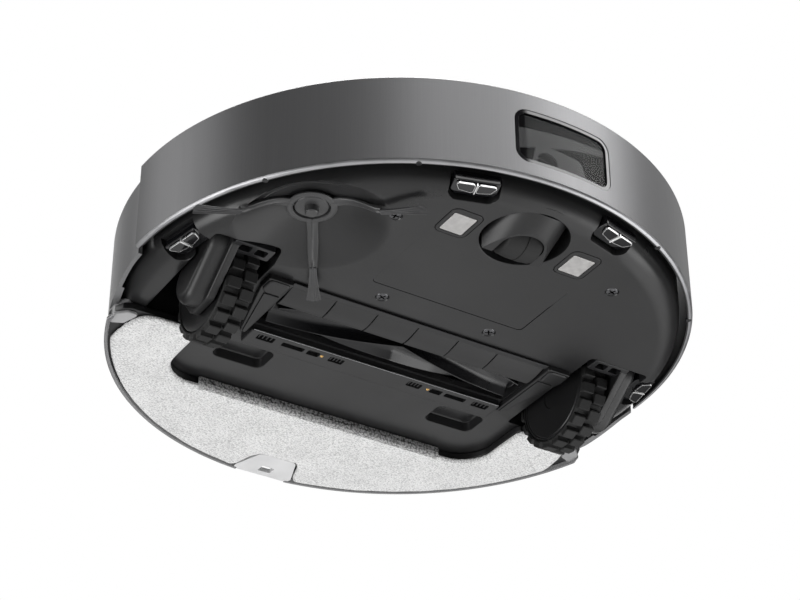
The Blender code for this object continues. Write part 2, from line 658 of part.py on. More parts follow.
def make_guard():
    top, low = BASE_Z - GAP, RIM_Z - 12.9
    outline = [(-105.0, -31.2), (105.0, -31.2), (105.0, -17.0), (93.0, 28.0), (88.6, 28.0), (88.6, -27.4),
               (-88.6, -27.4), (-88.6, 28.0), (-93.0, 28.0), (-105.0, -17.0)]
    guard = plate("brush_guard", outline, low, top, "chassis_black")
    cut(guard, box("guard_front_trim", (-88.0, -40.0, low - 5.0), (88.0, -20.0, BASE_Z - 1.6)))
    bevel(guard, 0.8)
    thick = 1.2
    line = [(-27.0, -9.1), (-21.0, -9.4), (-16.5, -8.3), (-12.5, -5.8)]
    under = [(y, z + RIM_Z) for y, z in line]
    over = [(y - 0.3, z + thick + RIM_Z) for y, z in reversed(line)]
    flap = plate("guard_flap", under + over, -87.8, 87.8, "rubber_black", "YZ")
    slits = [box(f"flap_slit_{i}", (x - 0.3, -24.5, RIM_Z - 15.0), (x + 0.3, 0.0, RIM_Z))
             for i, x in enumerate((-58.0, -30.0, -2.0, 26.0, 54.0))]
    cut(flap, *slits)


def radial_strip(name, angle, line, thick, half_width, finish=None):
    """A strip that runs outwards from the side brush's axis, along (radius, height) points."""
    outline = [(r, z + RIM_Z) for r, z in line] + [(r, z + thick + RIM_Z) for r, z in reversed(line)]
    strip = plate(name, outline, -half_width, half_width, finish, "XZ")
    strip.location = Vector((*SIDE_BRUSH, 0.0)) * MM
    strip.rotation_euler.z = radians(angle)
    return strip


def make_side_brush():
    x, y = SIDE_BRUSH
    hub = turned("side_brush", [
        (3.1, RIM_Z + 5.2), (10.4, RIM_Z + 5.2), (10.4, RIM_Z + 4.4), (14.2, RIM_Z + 3.4),
        (14.2, RIM_Z + 1.8), (10.6, RIM_Z + 1.8), (10.2, RIM_Z - 3.4), (8.6, RIM_Z - 5.0),
        (0.0, RIM_Z - 5.4), (0.0, RIM_Z - 2.0), (3.1, RIM_Z - 2.0)], 24, "grey_rubber", at=(x, y, 0.0))
    axis = pivot("side_brush_axis", x, y, 0.0)
    arm_line = [(12.0, 1.9), (22.0, 0.2), (31.0, -4.6), (40.0, -10.4)]
    tuft_line = [(40.4, -11.2), (54.0, -13.6), (68.0, -15.8)]
    for number, angle in enumerate(SIDE_BRUSH_ANGLES, 1):
        join(hub, radial_strip(f"brush_arm_{number}", angle, arm_line, 1.5, 3.6))
        tuft = radial_strip(f"side_brush_tuft_{number}", angle, tuft_line, 1.4, 3.4, "grey_rubber")
        attach(tuft, axis)
    attach(hub, axis)


# ---------------------------------------------------------------- caster

def make_caster():
    x, y = CASTER
    swivel = pivot("caster_swivel", x, y, 0.0)
    roll = pivot("caster_roll", x, CASTER_WHEEL_Y, CASTER_WHEEL_Z, swivel)
    fork = turned("caster_fork", [
        (0.0, RIM_Z + 25.0), (4.8, RIM_Z + 25.0), (4.8, RIM_Z + 13.0), (25.6, RIM_Z + 13.0),
        (25.6, RIM_Z - 4.0), (23.5, RIM_Z - 8.0), (18.0, RIM_Z - 11.0), (0.0, RIM_Z - 12.0)],
        32, "chassis_black", at=(x, y, 0.0))
    cut(fork, box("wheel_slot", (-9.0, -143.0, DRIVE_Z - 10.0), (9.0, -112.9, RIM_Z + 10.5)))
    axle_at = (0.0, CASTER_WHEEL_Y, CASTER_WHEEL_Z)
    cut(fork, cylinder("axle_bore", 2.3, -14.4, 14.4, 16, at=axle_at, axis="X"))
    cylinder("caster_axle", 1.9, -14.0, 14.0, 16, "steel", at=axle_at, axis="X")
    wheel = turned("caster_wheel", [
        (2.3, 7.5), (10.5, 7.5), (CASTER_WHEEL_R - 0.8, 5.0), (CASTER_WHEEL_R, 1.5), (CASTER_WHEEL_R, -1.5),
        (CASTER_WHEEL_R - 0.8, -5.0), (10.5, -7.5), (2.3, -7.5)], 20, "rubber_black", at=axle_at, axis="+X")
    attach(fork, swivel)
    attach(bpy.data.objects["caster_axle"], swivel)
    attach(wheel, roll)


# ---------------------------------------------------------------- mop

def notch_points(half, back, corner, front):
    """The inner edge of the mop from its left lobe round to its right lobe."""
    x, y = half - corner, back - corner
    return ([(-half, front)] + arc(-x, y, corner, 180.0, 90.0, 5)
            + arc(x, y, corner, 90.0, 0.0, 5) + [(half, front)])


def make_mop():
    edge = MOP_FRONT_Y
    a = height_angle(MOP_R, edge + 6.0)
    outline = (notch_points(MOP_NOTCH_HALF, MOP_NOTCH_Y + 2.4, MOP_NOTCH_CORNER, edge)
               + [(160.0, edge)] + arc(0.0, 0.0, MOP_R, a, 180.0 - a, 40) + [(-160.0, edge)])
    holder = plate("mop_plate", outline, RIM_Z - 12.9, BASE_Z - GAP, "smoke_plastic")
    tab = plate("tab_block", [(21.0, 173.0), (12.0, 148.0), (-12.0, 148.0), (-21.0, 173.0)],
                RIM_Z - 15.6, RIM_Z - 12.0)
    join(holder, tab)
    cut(holder, box("tab_hole", (-4.5, 161.0, RIM_Z - 30.0), (4.5, 168.0, RIM_Z)))
    pad_r = MOP_R - 1.2
    b = height_angle(pad_r, 68.0)
    rear = [(156.5, 52.0)] + arc(0.0, 0.0, pad_r, b, 82.6, 17)
    rear += [(12.4, 147.6), (-12.4, 147.6)] + arc(0.0, 0.0, pad_r, 97.4, 180.0 - b, 17) + [(-156.5, 52.0)]
    front = edge - 1.6
    outline = (notch_points(MOP_NOTCH_HALF, MOP_NOTCH_Y + 1.0, MOP_NOTCH_CORNER, front)
               + [(146.0, front)] + rear + [(-146.0, front)])
    pad = plate("mop_pad", outline, DRIVE_Z, RIM_Z - 13.2, "mop_fabric")
    join(pad, box("pad_wall", (-87.0, MOP_NOTCH_Y, DRIVE_Z + 0.5), (87.0, MOP_NOTCH_Y + 2.0, BASE_Z - 0.5)))


def height_angle(radius, y):
    """The angle in degrees at which a circle about the origin reaches y, on the +X side."""
    return 180.0 / pi * Vector((sqrt(radius ** 2 - y ** 2), y)).angle_signed(Vector((1.0, 0.0)))


# ---------------------------------------------------------------- inside

def make_battery():
    box("battery_pack", (-49.0, -102.0, FLOOR_IN + 1.0), (49.0, -57.0, RIM_Z + 34.0), "cell_blue", 2.0, 2)
    box("battery_door", (-51.2, -103.6, BASE_Z), (51.2, -54.4, FLOOR_IN), "chassis_black")


def make_board():
    low = RIM_Z + 44.0
    board = box("main_board", (-60.0, -98.0, low), (60.0, -38.0, low + 1.6), "board_green")
    for number, (x, y, half) in enumerate(((-30.0, -80.0, 9.0), (12.0, -60.0, 7.0), (42.0, -84.0, 5.0))):
        join(board, box(f"chip_{number}", (x - half, y - half, low + 1.0), (x + half, y + half, low + 3.4)))


def make_fan():
    x, y = FAN
    low = RIM_Z + 5.0
    turned("fan_housing", [
        (12.0, low + 34.0), (27.0, low + 34.0), (27.0, low), (0.0, low), (0.0, low + 2.0),
        (25.0, low + 2.0), (25.0, low + 32.0), (12.0, low + 32.0)], 24, "chassis_black", at=(x, y, 0.0))
    rotor = turned("fan_impeller", [
        (0.0, low + 16.0), (5.0, low + 16.0), (6.0, low + 8.0), (21.0, low + 6.0), (21.0, low + 4.0),
        (0.0, low + 4.0)], 24, "smoke_plastic", at=(x, y, 0.0))
    for number in range(7):
        blade = box(f"fan_blade_{number}", (4.0, -0.6, low + 5.0), (20.5, 0.6, low + 15.0))
        blade.location = (x * MM, y * MM, 0.0)
        blade.rotation_euler.z = 2 * pi * number / 7
        join(rotor, blade)


def make_motors():
    cylinder("brush_motor", 13.0, -118.0, -70.0, 24, "steel", at=(0.0, 68.0, RIM_Z + 20.0), axis="X")
    x, y = SIDE_BRUSH
    turned("side_brush_motor", [
        (0.0, RIM_Z + 34.0), (14.0, RIM_Z + 34.0), (14.0, RIM_Z + 10.4), (2.7, RIM_Z + 10.4),
        (2.7, RIM_Z - 1.6), (0.0, RIM_Z - 1.6)], 24, "steel", at=(x, y, 0.0))


def make_bin():
    low, high = (-62.0, 66.0, RIM_Z + 4.0), (62.0, 132.0, RIM_Z + 56.0)
    bin_body = box("dust_bin", low, high, "bin_clear")
    cut(bin_body, box("bin_space", (low[0] + 2.0, low[1] + 2.0, low[2] + 2.0),
                      (high[0] - 2.0, high[1] - 2.0, high[2] - 2.0)))
    cut(bin_body, box("bin_inlet", (-40.0, 60.0, RIM_Z + 12.0), (10.0, 72.0, RIM_Z + 34.0)))
    box("dust_filter", (36.0, 72.0, RIM_Z + 10.0), (56.0, 126.0, RIM_Z + 50.0), "filter_white")


def make_tank():
    low, high = RIM_Z + 4.0, RIM_Z + 52.0
    outer = [(148.0, high), (163.5, high), (163.5, low), (148.0, low)]
    inner = [(150.0, high - 2.0), (161.5, high - 2.0), (161.5, low + 2.0), (150.0, low + 2.0)]
    tank = turned("water_tank", outer, 16, "smoke_plastic", 80.0, 50.0)
    cut(tank, turned("tank_space", inner, 16, None, 77.0, 51.5))
    cut(tank, cylinder("filler_hole", 4.5, high - 6.0, high + 6.0, 16, at=(0.0, 155.8, 0.0)))


make_chassis()
make_cliff_sensors()
make_contacts()
make_screws()
make_rear_shell()
make_top_deck()
make_lid()
make_turret()
make_buttons()
make_bumper()
make_wheel(-1, "left")
make_wheel(1, "right")
make_main_brush()
make_guard()
make_side_brush()
make_caster()
make_mop()
make_battery()
make_board()
make_fan()
make_motors()
make_bin()
make_tank()
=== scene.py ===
"""Looks of the robot vacuum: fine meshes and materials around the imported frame.

Lengths are in millimetres in the frame's axes. Heights given as `RIM + h` are over the bumper's lower rim.
"""
from math import atan2, cos, degrees, pi, radians, sin, sqrt

import bmesh
import bpy
from mathutils import Matrix, Vector, noise


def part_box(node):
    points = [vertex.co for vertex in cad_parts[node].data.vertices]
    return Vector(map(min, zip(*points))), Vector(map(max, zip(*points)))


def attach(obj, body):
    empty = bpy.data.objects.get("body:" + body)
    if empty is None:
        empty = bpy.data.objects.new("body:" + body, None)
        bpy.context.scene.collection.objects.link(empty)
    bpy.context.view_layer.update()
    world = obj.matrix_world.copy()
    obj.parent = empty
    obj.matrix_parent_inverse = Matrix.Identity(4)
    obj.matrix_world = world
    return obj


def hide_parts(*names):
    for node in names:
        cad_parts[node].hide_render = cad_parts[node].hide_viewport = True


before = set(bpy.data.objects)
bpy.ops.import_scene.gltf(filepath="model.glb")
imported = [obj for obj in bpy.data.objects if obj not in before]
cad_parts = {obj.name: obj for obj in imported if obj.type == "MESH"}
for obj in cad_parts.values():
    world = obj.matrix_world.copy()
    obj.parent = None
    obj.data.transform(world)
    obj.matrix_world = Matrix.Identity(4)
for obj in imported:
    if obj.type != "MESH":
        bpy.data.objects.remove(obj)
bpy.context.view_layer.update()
MM = 0.001


def span(node):
    """A CAD node's lowest and highest corners, in mm."""
    low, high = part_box(node)
    return low / MM, high / MM


RIM = span("bumper_shell")[0].z            # lower rim of the bumper
BUMPER_R = span("bumper_shell")[1].x
BASE = span("battery_door")[0].z           # flat underside of the chassis
DRIVE = span("mop_pad")[0].z               # underside of the mop pad
SHELL_R = -span("rear_shell")[0].x
FLOOR_IN = RIM - 6.6                       # top of the chassis floor round its openings
BAR_LOW = RIM - 12.8                       # underside of the bar behind the main brush
PLATE_LOW = RIM - 12.9                     # underside of the mop plate and of the brush guard
BUMPER_END = 89.0                          # degrees from the front
SIDE_BRUSH = (-109.0, -86.0)
CASTER = (0.0, -134.0)
TURRET = (0.0, 16.0)


# ---------------------------------------------------------------- materials

class Shader:
    """A Principled material, and short ways to add procedural detail to it."""

    def __init__(self, name, colour, roughness, metallic=0.0, **values):
        self.material = bpy.data.materials.new(name)
        self.material.use_nodes = True
        self.tree = self.material.node_tree
        self.bsdf = self.tree.nodes["Principled BSDF"]
        self.colour = (*colour, 1.0)
        self.set("Base Color", self.colour)
        self.set("Roughness", roughness)
        self.set("Metallic", metallic)
        for key, value in values.items():
            self.set(key.replace("_", " "), value)
        self.where = self.node("ShaderNodeTexCoord").outputs["Object"]

    def set(self, socket, value):
        self.bsdf.inputs[socket].default_value = value

    def node(self, kind, **settings):
        made = self.tree.nodes.new(kind)
        for key, value in settings.items():
            setattr(made, key, value)
        return made

    def link(self, output, target):
        self.tree.links.new(output, target)
        return target

    def math(self, operation, *values):
        made = self.node("ShaderNodeMath", operation=operation)
        for place, value in zip(made.inputs, values):
            if isinstance(value, (int, float)):
                place.default_value = value
            else:
                self.link(value, place)
        return made.outputs[0]

    def stretched(self, sx, sy, sz, turn=0.0):
        mapping = self.node("ShaderNodeMapping")
        mapping.inputs["Scale"].default_value = (sx, sy, sz)
        mapping.inputs["Rotation"].default_value = (0.0, 0.0, turn)
        self.link(self.where, mapping.inputs["Vector"])
        return mapping.outputs[0]

    def around(self, turns, heights):
        """Coordinates that run round the robot's wall: angle times turns, height times heights."""
        parts = self.node("ShaderNodeSeparateXYZ")
        self.link(self.where, parts.inputs[0])
        angle = self.math("ARCTAN2", parts.outputs["Y"], parts.outputs["X"])
        joined = self.node("ShaderNodeCombineXYZ")
        self.link(self.math("MULTIPLY", angle, turns), joined.inputs["X"])
        self.link(self.math("MULTIPLY", parts.outputs["Z"], heights), joined.inputs["Y"])
        return joined.outputs[0]

    def noise(self, where, scale, detail=3.0, roughness=0.5):
        made = self.node("ShaderNodeTexNoise")
        made.inputs["Scale"].default_value = scale
        made.inputs["Detail"].default_value = detail
        made.inputs["Roughness"].default_value = roughness
        self.link(where, made.inputs["Vector"])
        return made.outputs["Fac"]

    def remap(self, value, low, high, source=(0.3, 0.7)):
        made = self.node("ShaderNodeMapRange")
        for key, number in zip(("From Min", "From Max", "To Min", "To Max"), (*source, low, high)):
            made.inputs[key].default_value = number
        self.link(value, made.inputs["Value"])
        return made.outputs[0]

    def vary(self, value, spread, source=(0.3, 0.7)):
        """The base colour made darker and lighter by a share, following a value."""
        mix = self.node("ShaderNodeMix", data_type="RGBA")
        dark = tuple(c * (1.0 - spread) for c in self.colour[:3])
        light = tuple(min(c * (1.0 + spread), 1.0) for c in self.colour[:3])
        mix.inputs["A"].default_value = (*dark, 1.0)
        mix.inputs["B"].default_value = (*light, 1.0)
        self.link(self.remap(value, 0.0, 1.0, source), mix.inputs["Factor"])
        self.link(mix.outputs["Result"], self.bsdf.inputs["Base Color"])

    def rough(self, value, low, high):
        self.link(self.remap(value, low, high), self.bsdf.inputs["Roughness"])

    def bump(self, value, strength, depth_mm):
        made = self.node("ShaderNodeBump")
        made.inputs["Strength"].default_value = strength
        made.inputs["Distance"].default_value = depth_mm * MM
        self.link(value, made.inputs["Height"])
        self.link(made.outputs[0], self.bsdf.inputs["Normal"])


def brushed_wall(name, colour, roughness):
    """Metallic lacquer with fine vertical streaks."""
    look = Shader(name, colour, roughness, 0.78)
    streaks = look.noise(look.around(260.0, 9.0), 1.0, 4.0, 0.6)
    fine = look.noise(look.around(900.0, 14.0), 1.0, 2.0)
    both = look.math("MULTIPLY", look.math("ADD", streaks, fine), 0.5)
    look.vary(both, 0.045, (0.38, 0.62))
    look.rough(streaks, roughness - 0.03, roughness + 0.04)
    look.bump(both, 0.05, 0.03)
    return look.material


def moulded(name, colour, roughness, grain_mm=0.5, spread=0.14, strength=0.18):
    """Plastic with a fine spark-eroded grain and slow changes of gloss."""
    look = Shader(name, colour, roughness)
    grain = look.noise(look.where, 1.0 / (grain_mm * MM), 2.0)
    slow = look.noise(look.where, 22.0, 3.0)
    look.vary(slow, spread)
    look.rough(slow, roughness - 0.05, roughness + 0.08)
    look.bump(grain, strength, 0.06)
    return look.material


def metal(name, colour, roughness, stretch=(900.0, 60.0, 60.0)):
    look = Shader(name, colour, roughness, 1.0)
    lines = look.noise(look.stretched(*stretch), 1.0, 3.0)
    look.vary(lines, 0.10)
    look.rough(lines, roughness - 0.06, roughness + 0.08)
    look.bump(lines, 0.10, 0.02)
    return look.material


def microfibre(name, light, dark):
    """Short loops of yarn laid in slanted rows, with painted shade in the gaps between them."""
    look = Shader(name, light, 0.95, Sheen_Weight=0.25, Sheen_Roughness=0.5)
    loops = look.node("ShaderNodeTexVoronoi", feature="F1")
    loops.inputs["Scale"].default_value = 1.0
    look.link(look.stretched(760.0, 1750.0, 760.0, radians(33.0)), loops.inputs["Vector"])
    twist = look.noise(look.where, 2600.0, 2.0)
    patches = look.noise(look.where, 60.0, 2.0)
    height = look.math("SUBTRACT", 1.0, loops.outputs["Distance"])
    shade = look.math("ADD", look.math("MULTIPLY", height, 0.7), look.math("MULTIPLY", twist, 0.3))
    # The colour follows the loops' height: the low gaps take the dark end as painted shade.
    ramp = look.node("ShaderNodeValToRGB")
    ramp.color_ramp.elements[0].position, ramp.color_ramp.elements[0].color = 0.34, (*dark, 1.0)
    ramp.color_ramp.elements[1].position, ramp.color_ramp.elements[1].color = 0.60, (*light, 1.0)
    look.link(look.math("ADD", shade, look.remap(patches, -0.04, 0.04)), ramp.inputs["Fac"])
    look.link(ramp.outputs["Color"], look.bsdf.inputs["Base Color"])
    look.bump(shade, 0.7, 0.5)
    return look.material


def clear(name, colour, roughness, alpha, coat=0.0, specular=0.5):
    """Smoked or frosted clear plastic: a tinted skin that lets some of what is behind it through."""
    look = Shader(name, colour, roughness, Alpha=alpha, Coat_Weight=coat, Coat_Roughness=0.03,
                  Specular_IOR_Level=specular)
    slow = look.noise(look.where, 30.0, 3.0)
    look.vary(slow, 0.15)
    look.rough(slow, max(roughness - 0.03, 0.01), roughness + 0.05)
    look.bump(look.noise(look.where, 700.0, 2.0), 0.05, 0.03)
    return look.material


def pleats(name, colour):
    look = Shader(name, colour, 0.9)
    wave = look.node("ShaderNodeTexWave", bands_direction="Y")
    wave.inputs["Scale"].default_value = 90.0
    look.link(look.where, wave.inputs["Vector"])
    # The colour follows the pleats' waves, darker in the valleys and lighter on the crests: painted shade and
    # light on the folds.
    look.vary(wave.outputs["Fac"], 0.25, (0.0, 1.0))
    look.bump(wave.outputs["Fac"], 0.8, 1.0)
    return look.material


LOOK = {
    "wall": brushed_wall("wall_lacquer", (0.145, 0.145, 0.148), 0.42),
    "shell": brushed_wall("shell_lacquer", (0.23, 0.23, 0.234), 0.40),
    # edge: a brighter grey metal; bright trim on the deck ring and the lidar disc, and a painted highlight on
    # the bumper's chamfer and along the rear bar's lip
    "edge": metal("bright_trim_and_painted_highlight", (0.42, 0.42, 0.43), 0.40, (60.0, 60.0, 60.0)),
    "deck": moulded("deck_satin", (0.115, 0.115, 0.118), 0.40),
    "base": moulded("base_charcoal", (0.015, 0.015, 0.0155), 0.32, 0.5, 0.06, 0.08),
    "black": moulded("moulding_black", (0.010, 0.010, 0.011), 0.34),
    "cover": moulded("cover_satin", (0.013, 0.013, 0.0135), 0.36, 0.4, 0.06, 0.1),
    "gloss": moulded("gloss_black", (0.006, 0.006, 0.007), 0.08, 2.0, 0.1, 0.02),
    "rubber": moulded("rubber_black", (0.009, 0.009, 0.009), 0.62, 0.9, 0.2, 0.35),
    "fin": moulded("fin_rubber", (0.009, 0.009, 0.010), 0.24, 1.2, 0.15, 0.10),
    "soft_grey": moulded("soft_grey_rubber", (0.050, 0.050, 0.051), 0.34, 0.7, 0.1, 0.1),
    "bristle": clear("bristle_nylon", (0.085, 0.085, 0.087), 0.40, 0.92),
    "nickel": metal("satin_nickel", (0.62, 0.61, 0.60), 0.40, (300.0, 300.0, 300.0)),
    "steel": metal("brushed_steel", (0.42, 0.42, 0.43), 0.34),
    "dark_steel": metal("dark_screw", (0.12, 0.12, 0.125), 0.32, (400.0, 400.0, 400.0)),
    "gold": metal("gold_pin", (0.72, 0.45, 0.16), 0.30, (500.0, 500.0, 500.0)),
    "window": clear("window_glass", (0.010, 0.010, 0.011), 0.05, 0.42, specular=0.08),
    "smoke": clear("smoked_corner", (0.16, 0.16, 0.165), 0.16, 0.72, 0.6),
    "frost": clear("frosted_corner", (0.44, 0.44, 0.445), 0.28, 0.86, 0.4),
    "pad": microfibre("mop_microfibre", (0.94, 0.94, 0.935), (0.52, 0.52, 0.52)),
    # painted shade: the pad's microfibre made darker for the hem's face, which the light reaches less
    "pad_painted_shade": microfibre("mop_microfibre_painted_shade", (0.62, 0.62, 0.62), (0.20, 0.20, 0.20)),
    # a darker grey strip of cloth, also painted near black as the shade in the gap under the plate
    "pad_grey_strip_and_shade": microfibre("mop_microfibre_grey_strip_and_shade", (0.30, 0.30, 0.30), (0.02, 0.02, 0.02)),
    "tab": moulded("pull_tab", (0.74, 0.74, 0.745), 0.42),
    "board": moulded("solder_mask", (0.02, 0.12, 0.06), 0.35),
    "cell": moulded("shrink_sleeve", (0.05, 0.08, 0.22), 0.35),
    "filter": pleats("filter_paper", (0.72, 0.72, 0.68)),
    "bin": clear("bin_smoke", (0.10, 0.10, 0.105), 0.12, 0.80),
    "impeller": clear("impeller_smoke", (0.28, 0.28, 0.29), 0.22, 0.9),
    "panel": moulded("inner_panel", (0.46, 0.46, 0.465), 0.4),
    # line: near-white thin lines, a painted highlight on the cliff sensors' lens rims and divider
    "line": metal("painted_highlight_line", (0.85, 0.85, 0.85), 0.30, (60.0, 60.0, 60.0)),
}


# ---------------------------------------------------------------- mesh tools

def as_piece(name, mesh, look, body, slot, *nodes, angle=32.0, flat_faces=True):
    """An object made from a mesh in metres, in its look, riding on a body and standing for CAD nodes."""
    made = bpy.data.objects.new(name, mesh)
    bpy.context.scene.collection.objects.link(made)
    finish_mesh(made, look, angle, flat_faces)
    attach(made, body)
    if nodes:
        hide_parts(*nodes)
    return made


def finish_mesh(made, look, angle=32.0, flat_faces=True):
    mesh = made.data
    mesh.materials.clear()
    mesh.materials.append(LOOK[look])
    mesh.shade_smooth()
    mesh.set_sharp_from_angle(angle=radians(angle))
    if flat_faces:
        made.modifiers.new("flat_faces", "WEIGHTED_NORMAL").keep_sharp = True


def mesh_from(bm, name):
    """The mesh of a bmesh in mm, with its faces pointing out."""
    bmesh.ops.remove_doubles(bm, verts=bm.verts, dist=1e-4)
    bmesh.ops.recalc_face_normals(bm, faces=bm.faces)
    bm.transform(Matrix.Scale(MM, 4))
    mesh = bpy.data.meshes.new(name)
    bm.to_mesh(mesh)
    bm.free()
    return mesh


def arc(x, y, radius, first, last, steps):
    """Points on an arc, angles in degrees, both ends included."""
    turn = [radians(first + (last - first) * i / steps) for i in range(steps + 1)]
    return [(x + radius * cos(a), y + radius * sin(a)) for a in turn]


def rounded(corners, radius, steps=5):
    """A closed outline with each corner rounded. A corner may carry its own radius as a third value."""
    outline = []
    count = len(corners)
    for i, corner in enumerate(corners):
        here = Vector(corner[:2])
        r = corner[2] if len(corner) > 2 else radius
        back = (Vector(corners[i - 1][:2]) - here).normalized()
        ahead = (Vector(corners[(i + 1) % count][:2]) - here).normalized()
        half = back.angle(ahead) / 2
        if r <= 0.0 or half > radians(88.0):
            outline.append(tuple(here))
            continue
        reach = r / max(sin(half) / cos(half), 1e-6)
        middle = here + (back + ahead).normalized() * (r / sin(half))
        start, end = here + back * reach - middle, here + ahead * reach - middle
        turn = start.angle_signed(end)
        for k in range(steps + 1):
            outline.append(tuple(middle + Matrix.Rotation(-turn * k / steps, 2) @ start))
    return outline


def rectangle(x0, y0, x1, y1, radius, steps=5):
    return rounded([(x0, y0), (x1, y0), (x1, y1), (x0, y1)], radius, steps)


def ring(x, y, radius, count):
    turns = [2 * pi * i / count for i in range(count)]
    return [(x + radius * cos(a), y + radius * sin(a)) for a in turns]


def offset(outline, by):
    """The outline (anticlockwise) moved outwards by a distance."""
    points = []
    count = len(outline)
    for i in range(count):
        before, here, after = (Vector(outline[j]) for j in (i - 1, i, (i + 1) % count))
        a, b = (here - before).normalized(), (after - here).normalized()
        normal = Vector((a.y + b.y, -a.x - b.x))
        normal = normal.normalized() if normal.length > 1e-6 else Vector((a.y, -a.x))
        points.append(tuple(here + normal * by / max(normal.dot(Vector((a.y, -a.x))), 0.5)))
    return points


def layered(name, outline, levels, place=None):
    """A closed solid through copies of an outline: levels are (height, offset) from one end to the other."""
    bm = bmesh.new()
    rings = [[bm.verts.new((x, y, z)) for x, y in offset(outline, by)] for z, by in levels]
    for low, high in zip(rings, rings[1:]):
        for i in range(len(low)):
            j = (i + 1) % len(low)
            bm.faces.new((low[i], low[j], high[j], high[i]))
    bm.faces.new(rings[0][::-1])
    bm.faces.new(rings[-1])
    if place:
        bm.transform(place)
    return mesh_from(bm, name)


def edge_levels(low, high, round_low=0.0, round_high=0.0, steps=3):
    """Levels of a slab whose lower and upper edges are rounded."""
    turns = [radians(90.0 * i / steps) for i in range(steps + 1)]
    below = [(low + round_low * (1 - sin(t)), -round_low * (1 - cos(t))) for t in reversed(turns)]
    above = [(high - round_high * (1 - sin(t)), -round_high * (1 - cos(t))) for t in turns]
    return (below if round_low else [(low, 0.0)]) + (above if round_high else [(high, 0.0)])


def pocket_levels(bottom, surface, lip=0.6, steps=3):
    """Levels of a cutter that opens downwards at a surface, with a rounded lip there."""
    turns = [radians(90.0 * i / steps) for i in range(steps + 1)]
    curve = [(surface + lip * (1 - cos(t)), lip * (1 - sin(t))) for t in turns]
    return [(surface - 6.0, lip)] + curve + [(bottom, 0.0)]


def lathe(name, profile, steps, sweep=360.0, start=0.0, place=None):
    """A profile of (radius, height) points turned about Z. It is closed unless its ends lie on the axis."""
    bm = bmesh.new()
    whole = sweep >= 360.0
    count = steps if whole else steps + 1
    closed = profile[0][0] > 0.0 or profile[-1][0] > 0.0
    rows = []
    for i in range(count):
        a = radians(start + sweep * i / steps)
        rows.append([bm.verts.new((r * cos(a), r * sin(a), z)) for r, z in profile])
    pairs = [(k, (k + 1) % len(profile)) for k in range(len(profile) if closed else len(profile) - 1)]
    for i in range(count if whole else count - 1):
        now, then = rows[i], rows[(i + 1) % count]
        for k, m in pairs:
            corners = [now[k], then[k], then[m], now[m]]
            if profile[k][0] == 0.0:
                corners.pop(1)
            elif profile[m][0] == 0.0:
                corners.pop(2)
            if profile[k][0] > 0.0 or profile[m][0] > 0.0:
                bm.faces.new(corners)
    if not whole:
        bm.faces.new(rows[0])
        bm.faces.new(rows[-1][::-1])
    if place:
        bm.transform(place)
    return mesh_from(bm, name)


def tool(mesh):
    made = bpy.data.objects.new("tool", mesh)
    bpy.context.scene.collection.objects.link(made)
    return made


def shaped(mesh, *steps):
    """A mesh after Boolean steps, each (operation, tool mesh)."""
    item = tool(mesh)
    tools = []
    for operation, other in steps:
        mod = item.modifiers.new("step", "BOOLEAN")
        mod.operation = operation
        mod.solver = "EXACT"
        mod.object = tool(other)
        tools.append(mod.object)
    return baked(item, tools)


def baked(item, tools=()):
    """The mesh that an object's modifiers give; the object and its tools are removed."""
    bpy.context.view_layer.update()
    graph = bpy.context.evaluated_depsgraph_get()
    mesh = bpy.data.meshes.new_from_object(item.evaluated_get(graph))
    for old in (item, *tools):
        bpy.data.objects.remove(old, do_unlink=True)
    return mesh


def bevelled(mesh, width, segments=2, angle=35.0):
    item = tool(mesh)
    mod = item.modifiers.new("edges", "BEVEL")
    mod.width, mod.segments, mod.angle_limit = width * MM, segments, radians(angle)
    mod.limit_method = "ANGLE"
    return baked(item)


def joined(*meshes):
    """Several meshes in one, left as separate closed shells."""
    bm = bmesh.new()
    for mesh in meshes:
        bm.from_mesh(mesh)
    mesh = bpy.data.meshes.new("joined")
    bm.to_mesh(mesh)
    bm.free()
    return mesh


def moved(x=0.0, y=0.0, z=0.0, turn=0.0, axis="Z"):
    return Matrix.Translation((x, y, z)) @ Matrix.Rotation(radians(turn), 4, axis)


def upright(angle, radius, z):
    """Takes a flat shape in XY onto the robot's wall: its Y becomes up and its Z points outwards."""
    turn = Matrix.Rotation(radians(angle), 4, "Z") @ Matrix.Rotation(pi / 2, 4, "X")
    return Matrix.Translation((radius * sin(radians(angle)), -radius * cos(radians(angle)), z)) @ turn


STANDING = Matrix(((0.0, 0.0, 1.0, 0.0), (1.0, 0.0, 0.0, 0.0), (0.0, 1.0, 0.0, 0.0), (0.0, 0.0, 0.0, 1.0)))


def on_side(side):
    """Takes a shape drawn in (y, z), built up along +X, onto the right or the left of the robot."""
    return Matrix.Diagonal((side, 1.0, 1.0, 1.0)) @ STANDING


def block(x0, y0, z0, x1, y1, z1, radius=0.0, lip=0.0, place=None):
    """A box with rounded corners in plan and rounded edges above and below."""
    return layered("block", rectangle(x0, y0, x1, y1, radius or 0.01, 4 if radius else 1),
                   edge_levels(z0, z1, lip, lip), place)


# ---------------------------------------------------------------- shells

